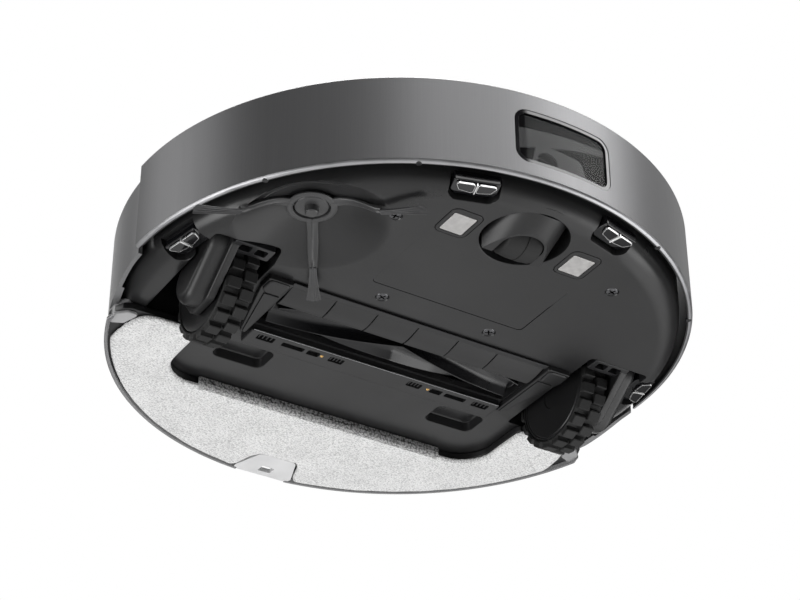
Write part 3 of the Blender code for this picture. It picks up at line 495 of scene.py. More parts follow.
def make_bumper():
    top = span("bumper_shell")[1].z
    lip_r = 172.8
    wall = [(lip_r, top - 1.5), (lip_r, top - 0.3), (lip_r + 0.3, top)]
    wall += arc(BUMPER_R - 1.0, top - 1.0, 1.0, 90.0, 0.0, 4)
    wall += [(BUMPER_R, RIM + 2.1), (BUMPER_R - 0.15, RIM + 1.75), (BUMPER_R - 0.8, RIM + 1.55),
             (174.4, RIM + 1.55), (174.0, RIM + 4.0), (174.0, top - 1.5)]
    sweep, start = 2 * BUMPER_END, -90.0 - BUMPER_END
    body = lathe("bumper_wall", wall, 200, sweep, start)
    opening = layered("opening", window_outline(0.0), [(-16.0, 0.0), (2.0, 0.0)], window_place())
    body = shaped(body, ("DIFFERENCE", opening))
    as_piece("bumper_wall", body, "wall", "bumper", "shell_grey", "bumper_shell")

    # The chamfer is coloured brighter than the wall: a painted highlight of the light it catches from below.
    chamfer = [(BUMPER_R - 0.1, RIM + 1.8), (BUMPER_R - 0.45, RIM + 1.0), (BUMPER_R - 1.1, RIM + 0.35),
               (BUMPER_R - 2.0, RIM + 0.05), (BUMPER_R - 2.5, RIM + 0.25), (BUMPER_R - 2.5, RIM + 1.5),
               (BUMPER_R - 0.8, RIM + 1.8)]
    as_piece("bumper_rim", lathe("bumper_rim", chamfer, 200, sweep, start), "edge", "bumper", "shell_grey")

    lip = lathe("bumper_lip", [(174.1, RIM + 0.5), (173.1, RIM + 0.5), (172.9, RIM + 0.9), (172.9, RIM + 3.2),
                               (174.1, RIM + 4.6)], 200, sweep - 2.4,
                start + 1.2)
    as_piece("bumper_lip", lip, "black", "bumper", "chassis_black")
    marks = []
    for angle in (-56.0, -28.0, 26.0, 53.0):
        a = radians(angle)
        marks.append(lathe("dimple", [(0.0, RIM - 0.1), (1.4, RIM - 0.1), (1.8, RIM + 0.2), (1.8, RIM + 1.4),
                                      (0.0, RIM + 1.4)], 20,
                           place=Matrix.Translation((173.9 * sin(a), -173.9 * cos(a), 0.0))))
    as_piece("bumper_plugs", joined(*marks), "black", "bumper", "chassis_black")


WINDOW_LOW, WINDOW_HIGH = RIM + 10.0, RIM + 46.0
WINDOW_HALF = 32.0


def window_outline(by):
    half, height = WINDOW_HALF + by, (WINDOW_HIGH - WINDOW_LOW) / 2 + by
    return rectangle(-half, -height, half, height, 8.0 + by, 8)


def window_place():
    return upright(0.0, BUMPER_R, (WINDOW_LOW + WINDOW_HIGH) / 2)


def follow_wall(mesh, radius):
    """Bends a flat shape, drawn in the plane y = -radius, round the robot's wall."""
    for vertex in mesh.vertices:
        x, y, z = vertex.co / MM
        angle = x / radius
        r = -y
        vertex.co = Vector((r * sin(angle), -r * cos(angle), z)) * MM
    return mesh


def sheet_grid(outline, inner_r, outer_r, columns=48):
    """A curved pane between two radii, from an outline drawn on the window's plane."""
    pane = layered("pane", outline, [(inner_r - BUMPER_R, 0.0), (outer_r - BUMPER_R, 0.0)],
                   window_place())
    bm = bmesh.new()
    bm.from_mesh(pane)
    for i in range(1, columns):
        x = (-WINDOW_HALF - 2.0 + i * 2 * (WINDOW_HALF + 2.0) / columns) * MM
        bmesh.ops.bisect_plane(bm, geom=bm.verts[:] + bm.edges[:] + bm.faces[:], plane_co=(x, 0.0, 0.0),
                               plane_no=(1.0, 0.0, 0.0))
    bm.to_mesh(pane)
    bm.free()
    return follow_wall(pane, BUMPER_R)


def make_window():
    glass = sheet_grid(window_outline(-2.3), 174.4, 175.3)
    as_piece("camera_window_glass", glass, "window", "bumper", "smoked_glass", "camera_window")
    outer = sheet_grid(window_outline(0.05), 173.6, 176.15)
    inner = sheet_grid(window_outline(-2.4), 172.0, 178.0)
    bezel = shaped(outer, ("DIFFERENCE", inner))
    as_piece("camera_window_bezel", bevelled(bezel, 0.35, 2, 50.0), "gloss", "bumper", "chassis_black")
    lens_low, lens_high = span("camera_lens")
    x, z = (lens_low.x + lens_high.x) / 2, (lens_low.z + lens_high.z) / 2
    band = rounded([(-29.4, -7.2), (29.4, 8.1), (29.4, 11.5), (-29.4, 6.5)], 0.5, 3)
    foot = rounded([(-21.0, -15.4), (15.5, -15.4), (12.0, -3.6, 6.0), (-17.7, -1.3)], 1.0, 6)
    eye = ring(x, z - (WINDOW_LOW + WINDOW_HIGH) / 2, 6.8, 40)
    mask = shaped(joined(sheet_grid(band, 173.3, 174.1), sheet_grid(foot, 173.3, 174.1)),
                  ("DIFFERENCE", sheet_grid(eye, 170.0, 176.0)))
    as_piece("camera_window_mask", mask, "panel", "bumper", "chassis_black")
    sensor = block(8.0, -167.4, WINDOW_LOW + 4.0, 17.0, -164.0, WINDOW_LOW + 9.0, 2.2, 0.5)
    as_piece("camera_inner_sensor", sensor, "cover", "root", "gloss_black")
    front = max(lens_low.y, -168.6)
    place = Matrix.Translation((x, front, z)) @ Matrix.Rotation(pi / 2, 4, "X")
    barrel = lathe("barrel", [(3.2, -3.0), (6.5, -3.0), (6.5, -0.3), (6.1, 0.0), (5.6, 0.0), (5.4, -0.5),
                              (4.4, -0.9), (3.2, -1.6)], 40, place=place)
    as_piece("camera_lens_barrel", barrel, "steel", "root", "gloss_black", "camera_lens")
    dome = lathe("dome", [(0.0, -0.5), (1.4, -0.6), (2.6, -1.0), (3.3, -1.7), (3.3, -2.6), (0.0, -2.6)], 32,
                 place=place)
    as_piece("camera_lens_glass", dome, "gloss", "root", "gloss_black")


VENT_ANGLE, VENT_Z = 142.0, RIM + 27.0


def make_rear_shell():
    sweep = 360.0 - 2 * (BUMPER_END + 0.5)
    low, high = span("rear_shell")
    profile = [(167.4, high.z - 1.7), (167.4, high.z - 0.4), (167.8, high.z)]
    profile += arc(SHELL_R - 6.0, high.z - 6.0, 6.0, 80.0, 0.0, 8)
    profile += arc(SHELL_R - 1.4, low.z + 1.4, 1.4, 0.0, -80.0, 4)
    profile += [(170.0, low.z), (169.4, low.z + 0.5), (169.4, low.z + 2.4), (171.1, low.z + 2.4),
                (171.1, high.z - 1.7)]
    shell = lathe("rear_cover", profile, 160, sweep, 90.0 - sweep / 2)
    sloping = rounded([(-20.0, -20.0), (75.0, -20.0), (75.0, low.z - 0.6), (46.0, low.z - 0.1, 60.0),
                       (10.0, low.z + 5.6, 60.0), (-20.0, low.z + 6.4)], 0.0, 8)
    steps = [("DIFFERENCE", layered("end", sloping, [(140.0, 0.0), (190.0, 0.0)], on_side(side)))
             for side in (-1, 1)]
    vents = rounded([(-19.0, -13.0), (19.0, -13.0), (19.0, 13.0), (-19.0, 13.0)], 5.0)
    steps.append(("DIFFERENCE", layered("vent", vents, [(-12.0, 0.0), (1.2, 0.0), (2.0, 0.8)],
                                        upright(VENT_ANGLE, SHELL_R - 1.2, VENT_Z))))
    as_piece("rear_cover", shaped(shell, *steps), "shell", "root", "shell_grey", "rear_shell")
    on_wall = upright(VENT_ANGLE, SHELL_R - 1.5, VENT_Z)
    ribs = [block(-18.6, -12.6, -1.8, 18.6, 12.6, -0.8, 4.6, place=on_wall)]
    for k in range(9):
        y = -11.2 + 2.8 * k
        half = 18.4 if abs(y) < 9 else 15.6
        ribs.append(layered("rib", rectangle(-half, y - 0.55, half, y + 0.55, 0.5, 3),
                            edge_levels(-1.0, 1.0, 0.0, 0.4), on_wall))
    as_piece("exhaust_ribs", joined(*ribs), "black", "root", "chassis_black", "exhaust_grille")


def make_deck():
    low, high = span("top_deck")
    r = high.x
    top = high.z
    profile = [(0.0, top), (r - 10.0, top), (r - 7.6, top - 0.25), (r - 4.4, top - 1.0), (r - 2.0, top - 3.6),
               (r - 0.4, top - 6.7), (r, top - 10.0), (r, low.z + 0.3), (r - 0.3, low.z), (r - 2.8, low.z),
               (r - 2.8, top - 5.5), (r - 5.8, top - 2.5), (0.0, top - 2.5)]
    lid_low, lid_high = span("bin_lid")
    steps = [("DIFFERENCE", layered("lid_hole", rectangle(lid_low.x - 0.3, lid_low.y - 0.3, lid_high.x + 0.3,
                                                          lid_high.y + 1.6, 5.0), pocket_up(top))),
             ("DIFFERENCE", layered("turret_hole", ring(*TURRET, 30.0, 64), pocket_up(top))),
             ("DIFFERENCE", layered("turret_seat", ring(*TURRET, 36.6, 96),
                                    [(top - 0.5, 0.0), (top + 4.0, 0.0)]))]
    for side in (-1, 1):
        key_hole = layered("key_hole", ring(KEY_X * side, KEY_Y, 6.4, 48), pocket_up(top, 0.4))
        steps.append(("DIFFERENCE", key_hole))
    as_piece("deck_cover", shaped(lathe("deck_cover", profile, 160), *steps), "deck", "root", "shell_grey",
             "top_deck")
    inset = lathe("deck_ring", [(157.0, top + 0.02), (157.4, top + 0.35), (158.6, top + 0.35),
                                (159.0, top + 0.02), (159.0, top - 0.8), (157.0, top - 0.8)], 200)
    as_piece("deck_ring", inset, "edge", "root", "shell_grey")


def pocket_up(top, lip=0.5):
    """Levels of a cutter that opens upwards at the deck, with a rounded lip."""
    return [(top - 9.0, 0.0), (top - lip, 0.0), (top - lip * 0.3, lip * 0.3), (top, lip), (top + 4.0, lip)]


def make_lid():
    low, high = span("bin_lid")
    outline = rectangle(low.x, low.y, high.x, high.y, 4.6, 6)
    lid = layered("bin_cover", outline, edge_levels(low.z, high.z, 0.3, 0.7))
    scoop = layered("scoop", rectangle(-15.0, low.y + 3.0, 15.0, low.y + 13.0, 4.8, 8),
                    [(high.z - 1.6, -1.6), (high.z - 1.0, -0.6), (high.z, 0.6), (high.z + 3.0, 0.6)])
    as_piece("bin_cover", shaped(lid, ("DIFFERENCE", scoop)), "deck", "lid", "shell_grey", "bin_lid")


def make_turret():
    low, high = span("lidar_cap")
    x, y = TURRET
    place = Matrix.Translation((x, y, 0.0))
    cap = [(0.0, high.z), (30.0, high.z), (33.6, high.z - 0.6), (35.2, high.z - 1.8), (36.0, high.z - 4.0),
           (36.0, low.z + 0.4), (35.6, low.z), (33.6, low.z), (33.4, low.z + 0.4), (33.4, high.z - 3.4),
           (32.0, high.z - 2.6), (0.0, high.z - 2.6)]
    steps = []
    for turn in (45.0, 135.0):
        outline = rectangle(-17.0, low.z + 2.7, 17.0, high.z - 6.0, 3.0, 5)
        across = place @ moved(turn=turn + 90.0) @ moved(turn=90.0, axis="X")
        cutter = layered("slot", outline, [(-50.0, 0.0), (50.0, 0.0)], across)
        steps.append(("DIFFERENCE", cutter))
    as_piece("lidar_cover", shaped(lathe("lidar_cover", cap, 96, place=place), *steps), "shell", "root",
             "shell_grey", "lidar_cap")
    disc = lathe("lidar_disc", [(0.0, high.z + 0.25), (22.0, high.z + 0.25), (22.6, high.z),
                                (22.6, high.z - 0.6), (0.0, high.z - 0.6)], 96, place=place)
    as_piece("lidar_disc", disc, "edge", "root", "shell_grey")
    low, high = span("lidar_head")
    head = [(0.0, high.z), (26.0, high.z), (27.0, high.z - 1.0), (27.0, high.z - 2.4), (25.8, high.z - 3.0),
            (25.8, low.z + 3.4), (27.0, low.z + 2.8), (27.0, low.z + 0.6), (26.4, low.z), (0.0, low.z)]
    eye = block(x - 9.0, y - 26.4, low.z + 3.6, x + 9.0, y - 22.0, high.z - 3.4, 1.0, 0.3)
    as_piece("lidar_rotor", joined(lathe("lidar_rotor", head, 72, place=place), eye), "gloss", "lidar",
             "gloss_black", "lidar_head")


KEY_X, KEY_Y = 13.0, -70.0


def make_buttons():
    for side, node, body in ((-1, "power_button", "power_key"), (1, "dock_button", "dock_key")):
        low, high = span(node)
        x = KEY_X * side
        place = moved(x, KEY_Y)
        key = lathe(node, [(0.0, high.z - 0.25), (3.0, high.z - 0.15), (5.0, high.z), (5.6, high.z - 0.15),
                           (6.0, high.z - 0.6), (6.0, low.z), (0.0, low.z)], 64, place=place)
        as_piece(f"{node}_cap", key, "gloss", body, "gloss_black", node)
        if side < 0:
            mark = lathe("mark", [(1.7, high.z - 0.3), (1.7, high.z + 0.02), (2.1, high.z + 0.02),
                                  (2.1, high.z - 0.3)], 40, 300.0, 120.0, place)
            bar = block(x - 0.22, KEY_Y + 0.4, high.z - 0.3, x + 0.22, KEY_Y + 2.7, high.z + 0.02, 0.2)
            as_piece("power_mark", joined(mark, bar), "tab", body, "nickel")
        else:
            low_y, eaves_y = KEY_Y - 1.8, KEY_Y + 0.4
            house = rounded([(x - 2.1, low_y), (x + 2.1, low_y), (x + 2.1, eaves_y), (x, KEY_Y + 2.4),
                             (x - 2.1, eaves_y)], 0.2, 2)
            as_piece("dock_mark", layered("dock_mark", house, [(high.z - 0.4, 0.0), (high.z + 0.02, 0.0)]),
                     "tab", body, "nickel")


make_bumper()
make_window()
make_rear_shell()
make_deck()
make_lid()
make_turret()
make_buttons()


# ---------------------------------------------------------------- underside

WELL_X, WELL_Y = (107.0, 149.0), (-50.5, 41.0)
WELL_TOP = RIM + 55.0
MOUTH_HALF, MOUTH_Y = 88.3, (-29.0, 19.0)
SLOT_Y, PIN_X = 26.4, 37.6                 # the windows and the sprung pins in the rear bar
CONTACT_X = 39.9
DISH_R, DISH_DEPTH = 46.0, 15.0
CLIFF_ANGLES = {"front_left": -17.0, "front_right": 15.5, "side_left": -79.2, "side_right": 79.2}


def cliff_place(angle):
    """Where a cliff sensor is drawn from: the side ones sit further in from the rim."""
    return moved(turn=angle) @ moved(y=4.5 if abs(angle) > 45.0 else 0.0)


def both_sides(x0, y0, x1, y1, radius, levels):
    """The same layered shape at +X and at -X."""
    return [layered("pair", rectangle(min(s * x0, s * x1), y0, max(s * x0, s * x1), y1, radius), levels)
            for s in (-1, 1)]


def dish_tool():
    steps = 20
    shares = [i / steps for i in range(steps + 1)]
    slope = [(DISH_R * share, BASE + DISH_DEPTH * (1 - share ** 2) ** 1.4) for share in shares]
    return lathe("dish", slope + [(DISH_R, BASE - 6.0), (0.0, BASE - 6.0)], 72, place=moved(*SIDE_BRUSH))


def bar_pockets():
    """Cutters for the windows in the bar behind the brush: a ribbed one at each end, slots between."""
    pockets = []
    for x, half_x, half_y in ((76.0, 5.6, 2.6), (57.5, 7.4, 2.0), (43.5, 4.0, 2.4), (27.7, 4.8, 2.6)):
        pockets += both_sides(x - half_x, SLOT_Y - half_y, x + half_x, SLOT_Y + half_y, 0.8,
                              pocket_levels(BAR_LOW + 2.6, BAR_LOW, 0.3, 2))
    return pockets


def make_chassis():
    top = span("chassis")[1].z
    curve = [(154.0, BASE), (158.6, BASE + 0.3), (162.3, BASE + 1.4), (165.2, BASE + 3.4),
             (167.3, BASE + 6.4), (168.5, BASE + 10.0), (168.8, BASE + 13.0)]
    profile = ([(0.0, BASE)] + curve + [(168.8, top), (166.3, top), (166.3, RIM + 4.0), (163.0, RIM - 1.0),
                                        (157.0, RIM - 4.0), (0.0, RIM - 4.0)])
    bar = block(-87.5, 21.0, BAR_LOW, 87.5, 37.0, RIM - 6.0, 1.5, 1.0)
    add = both_sides(104.5, -53.0, 151.0, 43.5, 2.0, [(FLOOR_IN, 0.0), (WELL_TOP + 2.0, 0.0)])
    add += both_sides(56.0, 42.0, 95.5, 68.5, 4.0, [(FLOOR_IN, 0.0), (RIM + 1.0, 0.0)])
    add += [block(-92.3, -30.5, FLOOR_IN, 92.3, 27.0, RIM + 35.5), bar,
            lathe("socket", [(0.0, FLOOR_IN), (29.5, FLOOR_IN), (29.5, RIM + 18.0), (0.0, RIM + 18.0)], 64,
                  place=moved(*CASTER)),
            shaped(lathe("dish_block", [(0.0, FLOOR_IN), (50.0, FLOOR_IN), (50.0, RIM + 10.0),
                                        (0.0, RIM + 10.0)], 48, place=moved(*SIDE_BRUSH)),
                   ("INTERSECT", lathe("inner", [(0.0, RIM - 6.8), (154.0, RIM - 6.8), (166.0, RIM + 3.0),
                                                 (167.4, RIM + 8.0), (167.4, RIM + 30.0), (0.0, RIM + 30.0)],
                                       96)))]
    take = both_sides(WELL_X[0], WELL_Y[0], WELL_X[1], WELL_Y[1], 3.0, pocket_levels(WELL_TOP, BASE, 0.8))
    take += both_sides(59.0, 45.0, 92.5, 65.5, 4.5, [(BASE - 6.0, 0.9), (BASE, 0.9), (BASE + 0.3, 0.3),
                                                     (BASE + 1.0, 0.0), (BASE + 6.0, -0.8), (BASE + 6.9, -2.4)])
    take += [layered("mouth", rectangle(-MOUTH_HALF, MOUTH_Y[0], MOUTH_HALF, MOUTH_Y[1], 1.5),
                     [(BASE - 8.0, 0.0), (RIM - 2.0, 0.0)]),
             block(-90.0, -28.0, RIM - 4.5, 90.0, 24.5, RIM + 33.0),
             lathe("socket_space", [(0.0, BASE - 6.0), (26.2, BASE - 6.0), (26.2, BASE), (25.6, BASE + 0.3),
                                    (25.4, BASE + 0.9), (25.4, RIM + 15.0), (0.0, RIM + 15.0)], 96,
                   place=moved(*CASTER)),
             dish_tool(),
             block(-51.4, -104.0, BASE - 6.0, 52.0, -53.8, RIM + 4.0, 3.0)]
    for angle in CLIFF_ANGLES.values():
        outline = rounded([(-14.4, -178.0), (14.4, -178.0), (14.4, -160.0, 3.0), (10.5, -155.5, 4.5),
                           (-10.5, -155.5, 4.5), (-14.4, -160.0, 3.0)], 0.0, 6)
        take.append(layered("cliff", outline, pocket_levels(RIM + 1.0, BASE, 0.7), cliff_place(angle)))
    for x, y in SCREW_PLACES:
        take.append(lathe("screw_seat", [(0.0, BASE - 3.0), (4.3, BASE - 3.0), (4.3, BASE), (3.8, BASE + 0.6),
                                         (3.8, BASE + 2.6), (0.0, BASE + 2.6)], 32, place=moved(x, y)))
    for side in (-1, 1):
        x = CONTACT_X * side
        frame_outline = rectangle(x - 10.4, -140.8, x + 10.4, -116.1, 4.8)
        take.append(layered("frame_groove", frame_outline, [(BASE - 3.0, 0.0), (BASE + 0.9, 0.0)]))
    take += bar_pockets()
    steps = [("UNION", mesh) for mesh in add] + [("DIFFERENCE", mesh) for mesh in take]
    as_piece("chassis_cover", shaped(lathe("chassis_cover", profile, 144), *steps), "base", "root",
             "chassis_black", "chassis")
    door = rounded([(-51.38, -103.98), (51.97, -103.98), (51.97, -88.0, 0.0), (51.4, -84.0, 0.0),
                    (51.4, -54.35), (-51.38, -54.35)], 3.0)
    cover = layered("battery_cover", door, edge_levels(BASE, RIM - 5.0, 0.12, 0.0, 2))
    as_piece("battery_cover", cover, "base", "root", "chassis_black", "battery_door")


def make_bar_fittings():
    """What shows in the windows of the rear bar: fine ribs and two sprung pins."""
    low = BAR_LOW
    ribs, pins = [], []
    for side in (-1, 1):
        for x, half in ((76.0, 5.2), (27.7, 4.4)):
            for k in range(4):
                at = x * side - half + (k + 0.5) * half / 2
                ribs.append(block(at - 0.45, 24.2, low + 0.8, at + 0.45, 28.6, low + 3.0, 0.2, 0.2))
        pins.append(lathe("pin", [(0.0, low - 0.4), (0.8, low - 0.3), (1.2, low + 0.2), (1.2, low + 3.0),
                                  (0.0, low + 3.0)], 24, place=moved(PIN_X * side, SLOT_Y)))
    as_piece("bar_ribs", joined(*ribs), "black", "root", "chassis_black")
    as_piece("bar_pins", joined(*pins), "gold", "root", "nickel")
    seam = block(-88.0, 37.6, BASE - 0.02, 88.0, 38.2, BASE + 0.6)
    as_piece("bar_seam", seam, "gloss", "root", "chassis_black")
    # A bright metal strip on the black bar: a painted highlight along the bar's lip.
    lip = block(-86.5, 20.7, low + 0.35, 86.5, 21.3, low + 0.95, 0.1)
    as_piece("bar_lip_highlight", lip, "edge", "root", "chassis_black")


SCREW_PLACES = ((-37.0, -42.4), (37.0, -42.4), (-73.4, -116.0), (73.4, -116.0))


def make_screws():
    for number, (x, y) in enumerate(SCREW_PLACES, 1):
        z = span(f"screw_{number}")[0].z
        head = lathe("head", [(0.0, z - 0.15), (2.4, z - 0.1), (3.3, z + 0.1), (3.7, z + 0.5), (3.7, z + 2.2),
                              (0.0, z + 2.2)], 32, place=moved(x, y))
        bars = [layered("cross", rectangle(-2.4, -0.5, 2.4, 0.5, 0.1, 1), [(z - 1.0, 0.0), (z + 1.9, 0.0)],
                        moved(x, y, 0.0, 28.0 * number + turn)) for turn in (0.0, 90.0)]
        as_piece(f"screw_{number}_head", shaped(head, *[("DIFFERENCE", bar) for bar in bars]), "dark_steel",
                 "root", "steel", f"screw_{number}")


def make_contacts():
    for side, label in ((-1, "left"), (1, "right")):
        x = CONTACT_X * side
        frame_low = BASE - 0.35
        surround = layered("surround", rectangle(x - 10.0, -140.4, x + 10.0, -116.5, 4.5),
                           edge_levels(frame_low, BASE + 0.8, 0.5, 0.0))
        seat = layered("seat", rectangle(x - 7.6, -136.3, x + 7.6, -118.7, 1.4),
                       pocket_levels(BASE + 0.4, frame_low, 0.4))
        as_piece(f"contact_{label}_frame", shaped(surround, ("DIFFERENCE", seat)), "cover", "root",
                 "chassis_black")
        plate = layered("plate", rectangle(x - 7.2, -135.9, x + 7.2, -119.1, 0.9),
                        edge_levels(frame_low + 0.1, BASE + 0.6, 0.25, 0.0))
        as_piece(f"contact_{label}_plate", plate, "nickel", "root", "nickel", f"charge_contact_{label}")


def make_cliff_sensors():
    for label, angle in CLIFF_ANGLES.items():
        place = cliff_place(angle)
        z = BASE + 1.6
        tray = rounded([(-13.2, -170.0), (13.2, -170.0), (13.2, -160.4, 3.0), (10.0, -157.0, 4.0),
                        (-10.0, -157.0, 4.0), (-13.2, -160.4, 3.0)], 1.0, 5)
        well = layered("well", tray, edge_levels(z + 1.6, RIM, 0.5, 0.0), place)
        as_piece(f"cliff_{label}_well", well, "gloss", "root", "gloss_black", f"cliff_sensor_{label}")
        # The thin near-white rims round each lens, and the divider between them, are painted highlights of the
        # lenses' bevelled edges.
        lenses, highlight_rims = [], []
        for side in (-1, 1):
            outline = rounded([(side * x, y) for x, y in ((0.9, -168.6), (11.8, -168.6), (9.0, -163.0),
                                                         (0.9, -161.4))][::side], 1.2, 4)
            lenses.append(layered("lens", outline, edge_levels(z, z + 2.4, 0.5, 0.0), place))
            hollow = layered("hollow", offset(outline, -0.12), [(z - 1.0, 0.0), (z + 2.0, 0.0)], place)
            rim = layered("rim", offset(outline, 0.22), edge_levels(z - 0.1, z + 1.0, 0.1, 0.0, 1), place)
            highlight_rims.append(shaped(rim, ("DIFFERENCE", hollow)))
        highlight_rims.append(layered("divider", rectangle(-0.45, -169.0, 0.45, -160.8, 0.2, 2),
                            edge_levels(z - 0.5, z + 2.0, 0.2, 0.0), place))
        as_piece(f"cliff_{label}_lenses", joined(*lenses), "gloss", "root", "gloss_black")
        as_piece(f"cliff_{label}_rims", joined(*highlight_rims), "line", "root", "gloss_black")


# ---------------------------------------------------------------- wheels

def capsule(a, b, radius_a, radius_b, steps=14):
    """The outline round two circles in the plane, anticlockwise."""
    a, b = Vector(a), Vector(b)
    line = b - a
    lean = degrees(atan2(line.y, line.x))
    tip = degrees(Vector((sqrt(max(line.length ** 2 - (radius_a - radius_b) ** 2, 0.0)),
                          radius_a - radius_b)).angle_signed(Vector((1.0, 0.0))))
    first = lean - 90.0 + tip
    return (arc(b.x, b.y, radius_b, first, 2 * lean - first, steps)
            + arc(a.x, a.y, radius_a, 2 * lean - first, first + 360.0, steps))


def make_wheel(side, label):
    low, high = span(f"tyre_{label}")
    near, far = sorted((abs(low.x), abs(high.x)))
    far -= 4.0
    middle_z, r = (low.z + high.z) / 2, (high.z - low.z) / 2
    to_side = on_side(side) @ Matrix.Translation((0.0, middle_z, 0.0))
    spin, arm = f"wheel_{label}", f"suspension_{label}"
    carcass = lathe("carcass", [(30.3, far - 0.4), (31.0, far), (31.6, far - 0.5), (31.6, near + 0.5),
                                (31.0, near), (30.3, near + 0.4)], 88, place=to_side)
    lugs = []
    count = 20
    for row, start in ((0, near + 0.2), (1, (near + far) / 2 + 0.2)):
        for i in range(count):
            outline = rectangle(-3.3, start, 3.3, start + (far - near) / 2 - 1.1, 0.8, 2)
            turn = Matrix.Rotation(2 * pi * (i + 0.5 * row) / count, 4, "Z")
            lugs.append(layered("lug", outline, [(31.4, 0.5), (32.6, 0.0), (r - 0.6, 0.0), (r - 0.1, -0.5)],
                                to_side @ turn @ STANDING))
    as_piece(f"tyre_{label}_tread", joined(carcass, *lugs), "rubber", spin, "rubber_black", f"tyre_{label}")
    hub = [(0.0, near + 0.9), (9.0, near + 0.9), (9.6, near + 0.4), (27.6, near + 0.4), (28.2, near + 0.8),
           (28.8, near + 0.4), (29.8, near + 0.6), (30.1, near + 1.2), (30.1, far - 1.2), (29.6, far - 0.4),
           (20.0, far - 0.4), (19.2, far - 1.0), (18.6, far - 3.4), (16.0, far - 4.4), (0.0, far - 4.4)]
    as_piece(f"hub_{label}_disc", lathe("hub", hub, 88, place=to_side), "cover", spin, "chassis_black",
             f"wheel_hub_{label}")
    y_z = on_side(side)
    plate = rounded([(-47.5, RIM + 13.0), (-47.5, RIM - 7.0), (-17.0, RIM - 28.5), (3.0, RIM - 28.5),
                     (12.5, RIM - 17.0), (12.5, RIM + 3.0), (-9.0, RIM + 19.0), (-40.0, RIM + 19.0)], 6.0)
    body = layered("arm", plate, edge_levels(far + 1.0, far + 6.0, 0.6, 1.2), y_z)
    cover = layered("cover", capsule((-30.5, RIM + 2.5), (-8.0, RIM - 14.5), 14.2, 13.6, 20),
                    edge_levels(far + 1.2, far + 16.2, 2.0, 5.0, 8), y_z)
    as_piece(f"arm_{label}_cover", joined(body, cover), "cover", arm, "chassis_black", f"wheel_arm_{label}")
    make_well_bracket(side, label)


def make_well_bracket(side, label):
    """The bracket across the front of the wheel well, with two slots."""
    x0, x1 = 111.0, 136.0
    left, right = sorted((side * x0, side * x1))
    solid = layered("bracket", rectangle(left, -50.0, right, -39.0, 1.5),
                    edge_levels(BASE + 0.4, BASE + 13.0, 0.7, 0.0))
    slots = [layered("slot", rectangle(side * x - 3.4, -47.6, side * x + 3.4, -42.0, 0.8),
                     pocket_levels(BASE + 5.0, BASE + 0.4, 0.3, 2)) for x in (118.0, 128.0)]
    as_piece(f"well_bracket_{label}", shaped(solid, *[("DIFFERENCE", s) for s in slots]), "black", "root",
             "chassis_black")


# ---------------------------------------------------------------- brushes

BRUSH_AT = (0.0, 3.5, RIM + 4.0)
FIN_ROOT, FIN_TIP, FIN_HALF_LENGTH = 9.0, 17.0, 84.0


def fin_outline(blades=6):
    """The section of the brush: thin blades with rounded tips on fillets at a round core."""
    outline = []
    for number in range(blades):
        middle = 360.0 * number / blades
        for radius, half in ((FIN_ROOT, -3.0), (FIN_ROOT + 0.8, -1.5), (FIN_ROOT + 3.0, -0.8),
                             (FIN_TIP - 0.6, -0.55), (FIN_TIP - 0.1, -0.3), (FIN_TIP - 0.1, 0.3),
                             (FIN_TIP - 0.6, 0.55), (FIN_ROOT + 3.0, 0.8), (FIN_ROOT + 0.8, 1.5),
                             (FIN_ROOT, 3.0)):
            angle = radians(middle) + half / radius
            outline.append((radius * cos(angle), radius * sin(angle)))
    return outline


def make_main_brush():
    steps, twist = 40, 62.0
    bm = bmesh.new()
    rings = []
    for i in range(-steps, steps + 1):
        turn = radians(twist * abs(i) / steps)
        rings.append([bm.verts.new((FIN_HALF_LENGTH * i / steps, BRUSH_AT[1] + y * cos(turn) - z * sin(turn),
                                    BRUSH_AT[2] + y * sin(turn) + z * cos(turn))) for y, z in fin_outline()])
    for a, b in zip(rings, rings[1:]):
        for k in range(len(a)):
            m = (k + 1) % len(a)
            bm.faces.new((a[k], a[m], b[m], b[k]))
    bm.faces.new(rings[0])
    bm.faces.new(rings[-1][::-1])
    as_piece("brush_blades", mesh_from(bm, "brush_blades"), "fin", "main_brush", "rubber_black", "brush_fins",
             angle=40.0)
    place = Matrix.Translation(BRUSH_AT) @ Matrix.Rotation(pi / 2, 4, "Y")
    cap = [(0.0, 87.2), (3.3, 87.2), (3.5, 86.8), (3.5, 85.9), (10.5, 85.6), (11.0, 85.0), (11.0, 84.2),
           (0.0, 84.2)]
    caps = [lathe("cap", [(r, s * z) for r, z in cap], 48, place=place) for s in (-1, 1)]
    as_piece("brush_end_caps", joined(*caps), "cover", "main_brush", "steel", "brush_core")


def make_guard():
    top, low = BASE - 0.3, PLATE_LOW
    for side, label in ((-1, "left"), (1, "right")):
        outline = [(88.8, -30.9), (104.6, -30.9), (104.8, -20.0, 4.0), (93.0, 27.6, 1.0), (88.8, 27.6, 1.0)]
        corners = [(side * c[0], *c[1:]) for c in outline][::side]
        bar = layered("bar", rounded(corners, 1.2), edge_levels(low + 0.9, top, 0.9, 0.0))
        hump = [(89.4, -30.4), (103.8, -30.4), (104.0, -20.6, 3.0), (101.0, -17.6, 2.0), (90.6, -17.6, 2.0)]
        corners = [(side * c[0], *c[1:]) for c in hump][::side]
        raised = layered("hump", rounded(corners, 3.2), [(low - 0.2, -1.6), (low - 0.1, -0.8),
                                                         (low + 0.3, -0.25), (low + 1.4, 0.0)])
        ridge = [(90.4, -16.4), (100.6, -16.4), (92.0, 26.4), (90.0, 26.4)]
        corners = [(side * c[0], *c[1:]) for c in ridge][::side]
        rib = layered("rib", rounded(corners, 0.8), edge_levels(low + 0.1, low + 1.4, 0.5, 0.0))
        as_piece(f"guard_bar_{label}", joined(bar, raised, rib), "cover", "guard", "chassis_black",
                 *(["brush_guard"] if side < 0 else []))
    strip = block(-88.7, -31.0, BASE - 1.6, 88.7, -27.0, top, 0.6, 0.5)
    as_piece("guard_strip", strip, "black", "guard", "chassis_black")
    make_flap()


